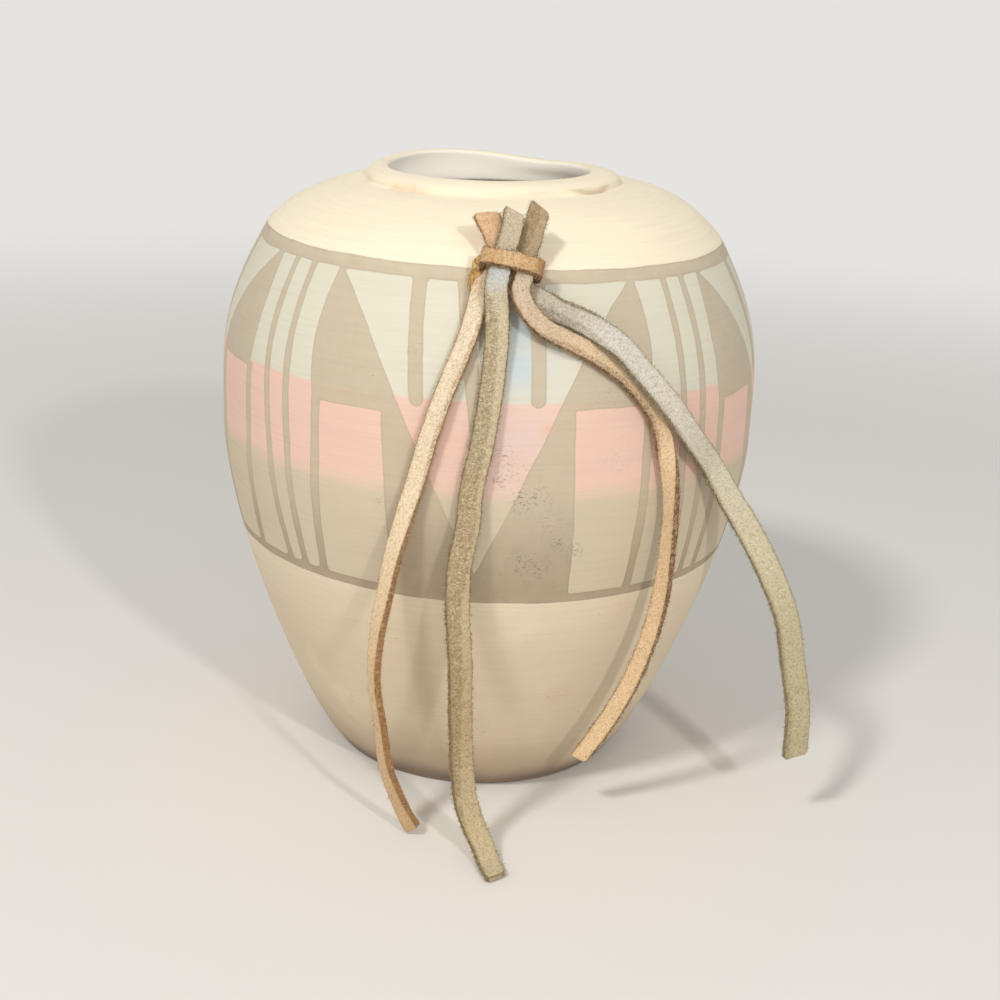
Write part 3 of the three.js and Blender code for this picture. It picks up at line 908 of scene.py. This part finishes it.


# %% [markdown]
# ## Marks of use
#
# A pot that has been handled has dark rubbed spots, a few thin scratches and warm smudges. The ones on
# the side with the tassel lie where the real one has them, and the back has its own, so that no side
# looks newer than another. A cool tint of light beside the laces is painted on the V in the same way.

# %% Marks: degrees round, height in mm, reach in mm and strength
SCUFFS = [
    (3.5, 90.8, 2.2, 0.8), (5.7, 88.2, 2.2, 0.7), (2.9, 86, 1.8, 1), (7.2, 81.5, 2.6, 1),
    (10.7, 82.1, 2.2, 1), (7.8, 67, 2.6, 0.8), (11.5, 65.5, 3, 0.9), (15.6, 71, 1.8, 1),
    (18.9, 69, 1.8, 1), (13, 76, 5, 0.3), (21.4, 30, 2.4, 0.6), (2.4, 20.5, 1.4, 0.9),
    (27, 90, 4, 0.25), (24, 104, 4, 0.3), (-14, 112, 2.2, 0.3), (-20, 79, 2, 0.5),
    (-37.4, 22.9, 1.6, 0.6), (-41.4, 14.6, 1.6, 0.6), (34.5, 90.7, 1.4, 0.5), (11.5, 124.7, 0.5, 1),
    (100, 70, 3, 0.8), (118, 96, 2.5, 0.6), (150, 95, 3.5, 0.7), (172, 40, 2.5, 0.6),
    (195, 62, 3, 0.8), (240, 88, 3, 0.7), (262, 30, 2, 0.5), (290, 50, 2.5, 0.6),
]
BLUSHES = [
    (-46, 139.7, 1.6, 0.7), (-41, 139.7, 1.7, 0.8), (-36, 139.7, 1.7, 0.8), (-31, 139.7, 1.6, 0.7),
    (-74, 139.7, 1.6, 0.6), (-70, 139.7, 1.6, 0.6), (-5.6, 133.5, 3, 0.5), (11.8, 96.9, 1.3, 1),
    (34.2, 52.9, 3, 0.6), (21.4, 30.2, 2, 0.5), (24.5, 29.6, 1.6, 0.5),
    (120, 136, 3.5, 0.7), (215, 137, 3, 0.6), (165, 52, 3, 0.4),
]
# The cool places are painted light: a cool tint of the light on the V beside the laces, not a mark of use.
PAINTED_COOL_LIGHT_PLACES = [(6.5, 110, 5.5, 0.9), (6.5, 116, 5, 0.8), (6, 95, 7.5, 0.22), (3, 88, 6, 0.15)]


def marks(points, rows):
    """Where the marks lie: 1 in the middle of a strong one and 0 far from all of them."""
    total = np.zeros(len(points))
    rising = outside[:outside[:, 1].argmax()]
    for place, up, reach, strength in rows:
        turn = math.radians(place)
        radius = np.interp(up * MM, rising[:, 1], rising[:, 0])
        middle = np.array([radius * math.sin(turn), -radius * math.cos(turn), up * MM])
        away = np.linalg.norm(points - middle, axis=1) / (reach * MM)
        total = np.maximum(total, strength * np.exp(-away ** 2))
    return total


# %% The groove that a trimming tool left under the collar
GROOVE_DEPTH = 0.35 * MM
GROOVE_WIDTH = 0.32 * MM
GROOVE_AT = (50.0, 26.0)
GROOVE_MIDDLE = 0.75
GROOVE_SWING = 0.3
GROOVE_WAVES = 9
GROOVE_HEIGHTS = (DOME_HEIGHT - 1.0 * MM, DOME_HEIGHT + 1.6 * MM)


def around(degrees, place, reach):
    """1 at a place round the pot, fading over that reach to both sides of it, all in degrees."""
    turn = (degrees - place + 180) % 360 - 180
    return np.exp(-(turn / reach) ** 2)


def groove_share(radius, height, degrees, is_outside):
    """1 along the bottom of the groove, which wanders a little and fades out at both its ends."""
    wander = GROOVE_MIDDLE + GROOVE_SWING * np.sin(np.radians(degrees * GROOVE_WAVES))
    middle = MOUTH_RADIUS + COLLAR_THICKNESS + STEP_WIDTH * wander
    on_dome = is_outside & (height > GROOVE_HEIGHTS[0]) & (height < GROOVE_HEIGHTS[1])
    return np.exp(-((radius - middle) / GROOVE_WIDTH) ** 2) * around(degrees, *GROOVE_AT) * on_dome


# %% Bend the neck and the rim
NECK_LEAN = 0.5 * MM
NECK_SHIFT = -1.0 * MM
MOUTH_SHIFT = -0.9 * MM
RIM_BENDS = [(218.0, 40.0, 1.15 * MM), (150.0, 25.0, -0.85 * MM), (112.0, 14.0, -0.35 * MM)]
LEANING = (CORNER_HEIGHT + 1.0 * MM, DOME_HEIGHT + 0.5 * MM)
RIM_REACH = (DOME_HEIGHT - 3.0 * MM, DOME_HEIGHT + 1.5 * MM)
MOUTH_REACH = (MOUTH_RADIUS + 0.5 * MM, MOUTH_RADIUS + COLLAR_THICKNESS)


def bend_neck(points, radius, degrees, groove):
    """The neck leans and sits a little to the left, and its rim rises and dips behind."""
    height = points[:, 2].copy()
    near_top = smooth_step(*LEANING, height)
    near_rim = smooth_step(*RIM_REACH, height)
    at_mouth = 1 - smooth_step(*MOUTH_REACH, radius)
    points[:, 2] += NECK_LEAN * near_top * points[:, 0] / (MOUTH_RADIUS + COLLAR_THICKNESS)
    points[:, 0] += near_rim * (NECK_SHIFT + MOUTH_SHIFT * at_mouth)
    for place, reach, rise in RIM_BENDS:
        points[:, 2] += rise * near_rim ** 2 * around(degrees, place, reach)
    points[:, 2] -= GROOVE_DEPTH * groove
    return points


# %% What each point of the pot knows about its paint, its marks and the painted cool light
BRUSH_WOBBLES = ((7.0 * MM, 0.2 * MM, 51), (2.2 * MM, 0.08 * MM, 52))
UNPAINTED = -10.0


def pot_values(points, height, degrees, radius, is_outside):
    from_v = (degrees - V_AZIMUTH + 180 / REPEATS) % (360 / REPEATS) - 180 / REPEATS
    wobble = sum(rough(points, size, seed) * depth for size, depth, seed in BRUSH_WOBBLES)
    paint = taupe_distance(from_v, height, radius, np.radians(degrees)) + wobble
    worn = {"scuff": SCUFFS, "blush": BLUSHES, "painted_cool_light": PAINTED_COOL_LIGHT_PLACES}
    return {
        "paint": np.where(is_outside, paint / MM, UNPAINTED),
        "inside": (~is_outside).astype(float),
        "groove": groove_share(radius, height, degrees, is_outside),
        **{kind: marks(points, rows) * is_outside for kind, rows in worn.items()},
    }


# %% Turn the outline
TURN_STEPS = 560
LUMP_SIZE = 26.0 * MM
LUMP_DEPTH = 0.12 * MM
LUMP_SEED = 53
LUMPS_START = (1.5 * MM, 6.0 * MM)
LEAST_RADIUS = 10.0 * MM
LIP_POINTS = 4


def make_pot():
    line = np.concatenate([outside, hollow])
    turn = np.linspace(0.0, 2 * math.pi, TURN_STEPS, endpoint=False)
    radius, height = (np.repeat(line[:, k], TURN_STEPS) for k in (0, 1))
    angle = np.tile(turn, len(line))
    degrees = np.degrees(angle)
    is_outside = np.repeat(np.arange(len(line)) < len(outside) - LIP_POINTS, TURN_STEPS)
    points = np.stack([radius * np.sin(angle), -radius * np.cos(angle), height], axis=1)
    values = pot_values(points, height, degrees, radius, is_outside)
    lumps = rough(points, LUMP_SIZE, LUMP_SEED) * LUMP_DEPTH * smooth_step(*LUMPS_START, height)
    points[:, :2] *= (1 + lumps / np.maximum(radius, LEAST_RADIUS))[:, None]
    points = bend_neck(points, radius, degrees, values["groove"])
    return make_piece("pot", points, closed_tube(len(line), TURN_STEPS), values)


pot = make_pot()
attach(pot, BODY)
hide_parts("vase_body")
print("The pot has", len(pot.data.vertices), "vertices")

# %% [markdown]
# ## Finishes
#
# Every finish is made of nodes, from the piece's own coordinates, so it looks the same from any side.
# One helper adds a node, sets its options, and joins or sets its inputs. The small ones after it name
# the few kinds of node that this lesson needs, which keeps a long material short.


# %% Colours, and a helper that adds a node
def srgb(red, green, blue):
    """A colour as a paint chart gives it, 0 to 255, in Blender's linear values."""
    parts = [c / 255 for c in (red, green, blue)]
    return (*[c / 12.92 if c <= 0.04045 else ((c + 0.055) / 1.055) ** 2.4 for c in parts], 1.0)


def feed(tree, socket, value):
    if isinstance(value, bpy.types.NodeSocket):
        tree.links.new(value, socket)
    else:
        socket.default_value = value


def node(tree, kind, output, inputs=None, **options):
    made = tree.nodes.new("ShaderNode" + kind)
    for name, value in options.items():
        setattr(made, name, value)
    for key, value in (inputs or {}).items():
        feed(tree, made.inputs[key], value)
    return made.outputs[output]


# %% Numbers and places
def number(tree, operation, first, second=0.0):
    return node(tree, "Math", 0, {0: first, 1: second}, operation=operation)


def times(tree, first, second):
    return number(tree, "MULTIPLY", first, second)


def stored(tree, name):
    return node(tree, "Attribute", "Fac", attribute_name=name)


def own_place(tree):
    return node(tree, "TexCoord", "Object")


def own_height(tree):
    return node(tree, "SeparateXYZ", "Z", {0: own_place(tree)})


def stretched(tree, scale):
    return node(tree, "Mapping", "Vector", {"Vector": own_place(tree), "Scale": scale})


# %% Noise, and steps and blends
def grain(tree, scale, detail=2.0, roughness=0.5, distortion=0.0, place=None):
    """Blender's noise, with that many lumps to a metre."""
    return node(tree, "TexNoise", "Fac", {
        "Vector": place or own_place(tree), "Scale": scale, "Detail": detail, "Roughness": roughness,
        "Distortion": distortion,
    })


def ease(tree, value, low, high, to_low=0.0, to_high=1.0):
    """Goes smoothly from one number to another while the value goes from low to high."""
    limits = {"From Min": low, "From Max": high, "To Min": to_low, "To Max": to_high}
    return node(tree, "MapRange", "Result", {"Value": value, **limits}, interpolation_type="SMOOTHSTEP")


def blend(tree, amount, first, second, blend_type="MIX"):
    return node(tree, "Mix", 2, {0: amount, 6: first, 7: second}, data_type="RGBA", blend_type=blend_type)


def tinted(tree, colour, tint, value, low, high, most=1.0):
    """The colour, which takes up the tint, at most by that share, while the value goes from low to high."""
    return blend(tree, ease(tree, value, low, high, 0.0, most), colour, tint)


def bump(tree, height, distance, strength=1.0, under=None):
    inputs = {"Distance": distance, "Strength": strength, "Height": height}
    if under is not None:
        inputs["Normal"] = under
    return node(tree, "Bump", "Normal", inputs)


# %% Colours along a length
def along(tree, value, stops):
    """Each stop is a place from 0 to 1, and then its colour."""
    made = tree.nodes.new("ShaderNodeValToRGB")
    tree.links.new(value, made.inputs["Fac"])
    while len(made.color_ramp.elements) < len(stops):
        made.color_ramp.elements.new(0.5)
    for element, (place, *colour) in zip(made.color_ramp.elements, stops):
        element.position = place
        element.color = srgb(*colour)
    return made.outputs["Color"]


# %% Start and end a finish
def new_finish(name, **settings):
    material = bpy.data.materials.new(name)
    material.use_nodes = True
    for key, value in settings.items():
        material.node_tree.nodes["Principled BSDF"].inputs[key.replace("_", " ")].default_value = value
    return material, material.node_tree


def dress(piece, material, **inputs):
    """Feeds the shader's inputs and puts the finish on the piece."""
    tree = material.node_tree
    for key, value in inputs.items():
        feed(tree, tree.nodes["Principled BSDF"].inputs[key.replace("_", " ")], value)
    piece.data.materials.clear()
    piece.data.materials.append(material)


# %% [markdown]
# Bisque ware is matt and faintly rough, with fine level lines where it was sanded on the wheel. The
# zones were sprayed, so their edges are soft, and the taupe was brushed on, so it is crisp at its edge
# and uneven within.

# %% The ground's colours and the heights where they change; the cream is painted lighter above and darker below, as painted light from above
CREAM_PAINTED_LIGHT_ABOVE = srgb(248, 237, 211)
CREAM_PAINTED_SHADE_BELOW = srgb(218, 201, 174)
CREAM_PATCH = srgb(250, 228, 204)
MINT = srgb(219, 215, 196)
PINK = srgb(234, 198, 182)
BEIGE = srgb(209, 195, 170)
PAINTED_COOL_LIGHT = srgb(192, 206, 212)
CREAM_LIGHT_TO_SHADE_HEIGHTS = (30 * MM, 100 * MM)
MINT_TO_PINK = 102.3 * MM
PINK_TO_BEIGE = 82.2 * MM
SPRAY_EDGE = 2.6 * MM
MASKED_EDGE = 0.35 * MM
ZONE_DRIFT = 1.2 * MM


# %% The cream ground and the sprayed zones
def ground_colour(tree, patches):
    up = own_height(tree)
    wavy = number(tree, "ADD", up, times(tree, number(tree, "SUBTRACT", grain(tree, 160), 0.5), ZONE_DRIFT))
    # The cream goes from painted shade low on the pot to painted light on the shoulder.
    cream = tinted(tree, CREAM_PAINTED_SHADE_BELOW, CREAM_PAINTED_LIGHT_ABOVE, up, *CREAM_LIGHT_TO_SHADE_HEIGHTS)
    cream = tinted(tree, cream, CREAM_PATCH, patches, 0.5, 0.8, 0.3)
    zones = tinted(tree, BEIGE, PINK, wavy, PINK_TO_BEIGE - SPRAY_EDGE, PINK_TO_BEIGE + SPRAY_EDGE)
    zones = tinted(tree, zones, MINT, wavy, MINT_TO_PINK - MASKED_EDGE, MINT_TO_PINK + MASKED_EDGE)
    # Painted light: a cool tint where the light falls cool on the V beside the laces.
    zones = blend(tree, stored(tree, "painted_cool_light"), zones, PAINTED_COOL_LIGHT)
    above = ease(tree, up, LOWER_LINE[0], LOWER_LINE[1])
    below = ease(tree, up, UPPER_LINE[1], UPPER_LINE[0])
    return blend(tree, times(tree, above, below), cream, zones)


# %% The taupe shapes, with distances to their edges in mm
TAUPE = srgb(196, 182, 158)
TAUPE_PAINTED_SHADE_LOW = srgb(170, 154, 129)
TAUPE_EDGE = srgb(120, 104, 80)
TAUPE_SHADE_HEIGHTS = (58 * MM, 85 * MM)
EDGE_LINE = (0.5, 0.1)
PAINT_EDGE = 0.12


def with_taupe(tree, colour):
    # The taupe is painted darker low in the band, as painted shade under the belly.
    taupe = tinted(tree, TAUPE_PAINTED_SHADE_LOW, TAUPE, own_height(tree), *TAUPE_SHADE_HEIGHTS)
    taupe = tinted(tree, taupe, TAUPE_EDGE, number(tree, "ABSOLUTE", stored(tree, "paint")), *EDGE_LINE, 0.16)
    edge = ease(tree, stored(tree, "paint"), -PAINT_EDGE, PAINT_EDGE)
    brushed = ease(tree, grain(tree, 260, 3, 0.6, 0.4), 0.25, 0.75, 0.84, 0.98)
    return blend(tree, times(tree, edge, brushed), colour, taupe)


# %% Colours of wear, and of painted shade
BRUSH_LINE = srgb(140, 120, 92)
PEACH = srgb(222, 178, 138)
SCUFF_GREY = srgb(84, 74, 66)
GROOVE_PAINTED_SHADE = srgb(176, 148, 112)
STRAY_FLECK = srgb(140, 112, 86)
LOW_PAINTED_SHADE = srgb(150, 126, 104)
FOOT_DIRT_AND_SHADE = srgb(116, 96, 80)
LOW_SHADE_HEIGHTS = (26 * MM, 5 * MM)
FOOT_HEIGHTS = (10 * MM, 3 * MM)
LOW_SHADE_DRIFT = 5 * MM


# %% Wear and painted shade: brush lines, smudges, scuffs, and painted shade in the groove, low on the pot and at the dirty foot
def with_wear_and_painted_shade(tree, colour, lines, patches):
    colour = tinted(tree, colour, BRUSH_LINE, lines, 0.35, 0.75, 0.08)
    smudge = times(tree, stored(tree, "blush"), ease(tree, grain(tree, 420, 3), 0.3, 0.65, 0.4))
    colour = blend(tree, times(tree, smudge, 0.6), colour, PEACH)
    streaks = grain(tree, 1.0, 3, place=stretched(tree, (1000, 1000, 2600)))
    specks = ease(tree, grain(tree, 1900, 4, 0.7), 0.56, 0.66)
    specks = number(tree, "MAXIMUM", specks, ease(tree, streaks, 0.58, 0.66))
    dirt = times(tree, stored(tree, "scuff"), specks)
    colour = blend(tree, times(tree, dirt, 0.72), colour, SCUFF_GREY)
    # Painted shade darkens the trimming groove under the collar.
    colour = blend(tree, times(tree, stored(tree, "groove"), 0.55), colour, GROOVE_PAINTED_SHADE)
    colour = tinted(tree, colour, STRAY_FLECK, grain(tree, 620), 0.76, 0.8, 0.45)
    # Painted shade: the lower part of the pot is darkened, where little light comes up from the floor.
    low = number(tree, "ADD", own_height(tree), times(tree, patches, LOW_SHADE_DRIFT))
    colour = tinted(tree, colour, LOW_PAINTED_SHADE, low, *LOW_SHADE_HEIGHTS, 0.55)
    # The foot is darkened partly by real dirt on its rim and partly by painted shade where it meets the
    # floor.
    return tinted(tree, colour, FOOT_DIRT_AND_SHADE, low, *FOOT_HEIGHTS, 0.75), dirt


# %% The pot's finish
BISQUE = srgb(255, 249, 238)
BISQUE_PATCH = srgb(238, 226, 208)


def dress_pot():
    material, tree = new_finish("painted_bisque")
    lines = grain(tree, 1.0, 3, 0.6, place=stretched(tree, (45, 45, 1500)))
    patches = grain(tree, 55, 3, 0.55)
    colour = with_taupe(tree, ground_colour(tree, patches))
    colour, dirt = with_wear_and_painted_shade(tree, colour, lines, patches)
    white = tinted(tree, BISQUE, BISQUE_PATCH, patches, 0.3, 0.8, 0.25)
    colour = blend(tree, stored(tree, "inside"), colour, white)
    normal = bump(tree, lines, 0.05 * MM, 0.35)
    normal = bump(tree, grain(tree, 2600, 3, 0.6), 0.04 * MM, 0.5, normal)
    normal = bump(tree, dirt, -0.08 * MM, 0.6, normal)
    dress(pot, material, Base_Color=colour, Normal=normal, Roughness=ease(tree, patches, 0.3, 0.7, 0.62, 0.8))


dress_pot()

# %% [markdown]
# Suede has no shine. Its colour is mottled, because each tuft of nap leans its own way, and its cut
# sides are rougher than its faces. Their darker colour is partly their own and partly painted shade,
# where a side turns away from the light. A real hide also changes along its length, so each lace
# takes its face colour from a row of stops.

# %% Suede
MOTTLE = 0.5
LIGHT_TUFTS = 0.45
NAP_SHADE = srgb(150, 124, 94)
NAP_LIGHT = srgb(255, 244, 220)


def dress_suede(piece, name, suede):
    material, tree = new_finish(
        name, Roughness=0.95, Specular_IOR_Level=0.15, Sheen_Weight=0.2, Sheen_Roughness=0.6
    )
    tufts = grain(tree, 2900, 5, 0.78, 1.4)
    clumps = grain(tree, 1300, 3, 0.6, 0.3)
    ragged = grain(tree, 2100, 5, 0.78, 1.0)
    face = along(tree, stored(tree, "along"), suede["face"])
    shade = blend(tree, 1.0, face, NAP_SHADE, "MULTIPLY")
    colour = tinted(tree, face, shade, tufts, 0.52, 0.41, MOTTLE)
    colour = tinted(tree, colour, blend(tree, 0.5, face, NAP_LIGHT), tufts, 0.52, 0.62, LIGHT_TUFTS)
    colour = tinted(tree, colour, shade, clumps, 0.45, 0.3, 0.3)
    # The side colour is partly the suede's own darker edge and partly painted shade on sides that turn from
    # the light.
    side_colour_and_shade = srgb(*suede["side"])
    rough_part = times(tree, stored(tree, "rough_zone"), ease(tree, ragged, 0.54, 0.46, 0.0, 0.85))
    colour = blend(tree, rough_part, colour, blend(tree, 0.75, face, side_colour_and_shade))
    side = times(tree, stored(tree, "cut_side"), ease(tree, clumps, 0.7, 0.4, 0.35, 1.0))
    colour = blend(tree, side, colour, side_colour_and_shade)
    normal = bump(tree, clumps, 0.2 * MM, 0.6)
    normal = bump(tree, tufts, 0.14 * MM, 0.9, normal)
    dress(piece, material, Base_Color=colour, Normal=normal)


# %% The fibres' finish
def dress_fibres(piece, name, colour, darker):
    material, tree = new_finish(name, Roughness=0.9, Specular_IOR_Level=0.2)
    mottled = tinted(tree, srgb(*darker), srgb(*colour), grain(tree, 2200, 1), 0.38, 0.62)
    dress(piece, material, Base_Color=mottled)


# %% Each suede's colours: its cut sides, darker partly by painted shade, its fibres, and its face from one end to the other
SUEDES = {
    "lace_tan_left": {
        "side": (158, 114, 70), "fibres": (226, 192, 144),
        "face": [
            (0.0, 226, 188, 146), (0.08, 228, 194, 154), (0.14, 242, 226, 198), (0.45, 246, 226, 192),
            (0.7, 236, 202, 156), (1.0, 212, 176, 128),
        ],
    },
    "lace_olive_centre": {
        "side": (122, 98, 58), "fibres": (204, 184, 138),
        "face": [
            (0.0, 206, 190, 164), (0.078, 204, 190, 166), (0.088, 200, 204, 202), (0.106, 202, 201, 190),
            (0.122, 212, 198, 168), (0.55, 206, 187, 148), (0.75, 190, 169, 128), (1.0, 214, 198, 160),
        ],
    },
    "lace_tan_right": {
        "side": (116, 80, 44), "fibres": (228, 192, 142),
        "face": [
            (0.0, 204, 190, 168), (0.09, 222, 198, 168), (0.2, 232, 206, 170), (0.6, 234, 200, 156),
            (1.0, 240, 208, 162),
        ],
    },
    "lace_grey_right": {
        "side": (134, 116, 82), "fibres": (220, 212, 184),
        "face": [
            (0.0, 186, 162, 126), (0.09, 186, 164, 130), (0.14, 208, 199, 180), (0.25, 222, 217, 208),
            (0.42, 232, 226, 208), (0.65, 218, 208, 178), (0.8, 200, 188, 152), (1.0, 190, 178, 140),
        ],
    },
    # The strip's face darkens towards its right end, which is painted shade where the strip turns back round
    # the laces.
    "binding": {
        "side": (116, 80, 44), "fibres": (226, 190, 138),
        "face": [(0.0, 214, 172, 118), (0.4, 230, 196, 150), (0.85, 222, 184, 134), (1.0, 178, 128, 70)],
    },
}

# %% Dress the laces and the strip
suede_pieces = {**lace_pieces, "binding": strip}
loose_fibres = {**fibre_pieces, "binding": strip_fibres}
for name, suede in SUEDES.items():
    dress_suede(suede_pieces[name], name + "_suede", suede)
    dress_fibres(loose_fibres[name], name + "_fibre", suede["fibres"], suede["side"])
print("Suede finishes:", len(SUEDES))

# %% [markdown]
# Old glue is hard, amber where it is thick, and dull where fibres are caught in it. It lets some light
# through, but so little that a thin coat of gloss on a streaked amber does as well and is quick to
# render.

# %% The glue's finish
AMBER = srgb(220, 180, 106)
DARK_AMBER = srgb(156, 110, 54)


def dress_glue():
    material, tree = new_finish("yellowed_glue", Roughness=0.5, Coat_Weight=0.2, Coat_Roughness=0.25)
    streaks = grain(tree, 1.0, 4, 0.6, 0.5, place=stretched(tree, (2200, 1200, 500)))
    colour = tinted(tree, DARK_AMBER, AMBER, streaks, 0.38, 0.62)
    dress(glue, material, Base_Color=colour, Normal=bump(tree, streaks, 0.25 * MM, 0.9))


dress_glue()
dress_fibres(glue_fibres, "glue_fibre", (234, 200, 130), (160, 108, 44))

# %% [markdown]
# ## The floor and the lamps
#
# The vase stands on a plain pale floor that reaches far past the picture. A soft lamp above the front
# left gives the bright shoulder, a smaller one at the front right throws the laces' shadows to the left,
# and the sky fills in the rest. A larger lamp would be softer still, but then the laces would seem to
# lie flat on the pot. Far from the lamps a floor turns grey, so away from the vase and its shadow this
# one shows the eye an even pale tone, while it goes on lighting the vase as any floor would. The sky
# shows the same tone, so that no horizon stands behind the vase in a level view.

# %% Floor
FLOOR_REACH = 9.0
FLOOR_COLOUR = srgb(234, 232, 228)
corners = [(-1, -1, 0), (1, -1, 0), (1, 1, 0), (-1, 1, 0)]
floor = make_piece("floor", np.array(corners) * FLOOR_REACH, [[0, 1, 2, 3]])
floor_material, floor_tree = new_finish("pale_floor", Roughness=0.9)
dress(floor, floor_material, Base_Color=FLOOR_COLOUR)

# %% What the eye sees, apart from what gives light
EVEN_TONE = srgb(230, 228, 225)


def seen_by_eye(tree):
    """1 where the eye sees a thing, straight or in a gloss, and 0 where the thing only gives light."""
    seen = node(tree, "LightPath", "Is Camera Ray")
    for ray in ("Is Glossy Ray", "Is Transmission Ray"):
        seen = number(tree, "MAXIMUM", seen, node(tree, "LightPath", ray))
    return seen


def show_even_tone(tree, kind, share, lit, output):
    """Shows the even tone in place of what is lit, by that share."""
    even = node(tree, kind, 0, {"Color": EVEN_TONE, "Strength": 1.0})
    mixed = node(tree, "MixShader", 0, {0: share, 1: lit, 2: even})
    feed(tree, tree.nodes[output].inputs["Surface"], mixed)


# %% An even tone for the far floor
EVEN_FROM = 0.25
EVEN_BY = 0.8
from_middle = node(floor_tree, "VectorMath", "Value", {0: own_place(floor_tree)}, operation="LENGTH")
share = times(floor_tree, ease(floor_tree, from_middle, EVEN_FROM, EVEN_BY), seen_by_eye(floor_tree))
lit_floor = floor_tree.nodes["Principled BSDF"].outputs[0]
show_even_tone(floor_tree, "Emission", share, lit_floor, "Material Output")
print("The floor is even from", EVEN_BY, "m out")

# %% Lamps
LAMP_AIM = (0.0, -0.02, 0.09)
LAMP_COLOUR = (1.0, 0.97, 0.93)


def soft_lamp(name, place, size, power):
    lamp = bpy.data.objects.new(name, bpy.data.lights.new(name, "AREA"))
    lamp.data.shape = "DISK"
    lamp.data.size = size
    lamp.data.energy = power
    lamp.data.color = LAMP_COLOUR
    lamp.location = place
    lamp.rotation_mode = "QUATERNION"
    lamp.rotation_quaternion = (Vector(LAMP_AIM) - Vector(place)).to_track_quat("-Z", "Y")
    bpy.context.scene.collection.objects.link(lamp)


soft_lamp("left_lamp", place=(-0.46, -0.70, 0.92), size=0.16, power=6.0)
soft_lamp("front_lamp", place=(0.42, -0.92, 0.60), size=0.07, power=3.6)

# %% Sky
SKY_COLOUR = (1.0, 0.99, 0.97, 1.0)
SKY_STRENGTH = 0.47
world = bpy.data.worlds.new("sky")
bpy.context.scene.world = world
world.use_nodes = True
sky_light = world.node_tree.nodes["Background"]
sky_light.inputs["Color"].default_value = SKY_COLOUR
sky_light.inputs["Strength"].default_value = SKY_STRENGTH
sky_seen = seen_by_eye(world.node_tree)
show_even_tone(world.node_tree, "Background", sky_seen, sky_light.outputs[0], "World Output")
bpy.context.scene.view_settings.view_transform = "Standard"
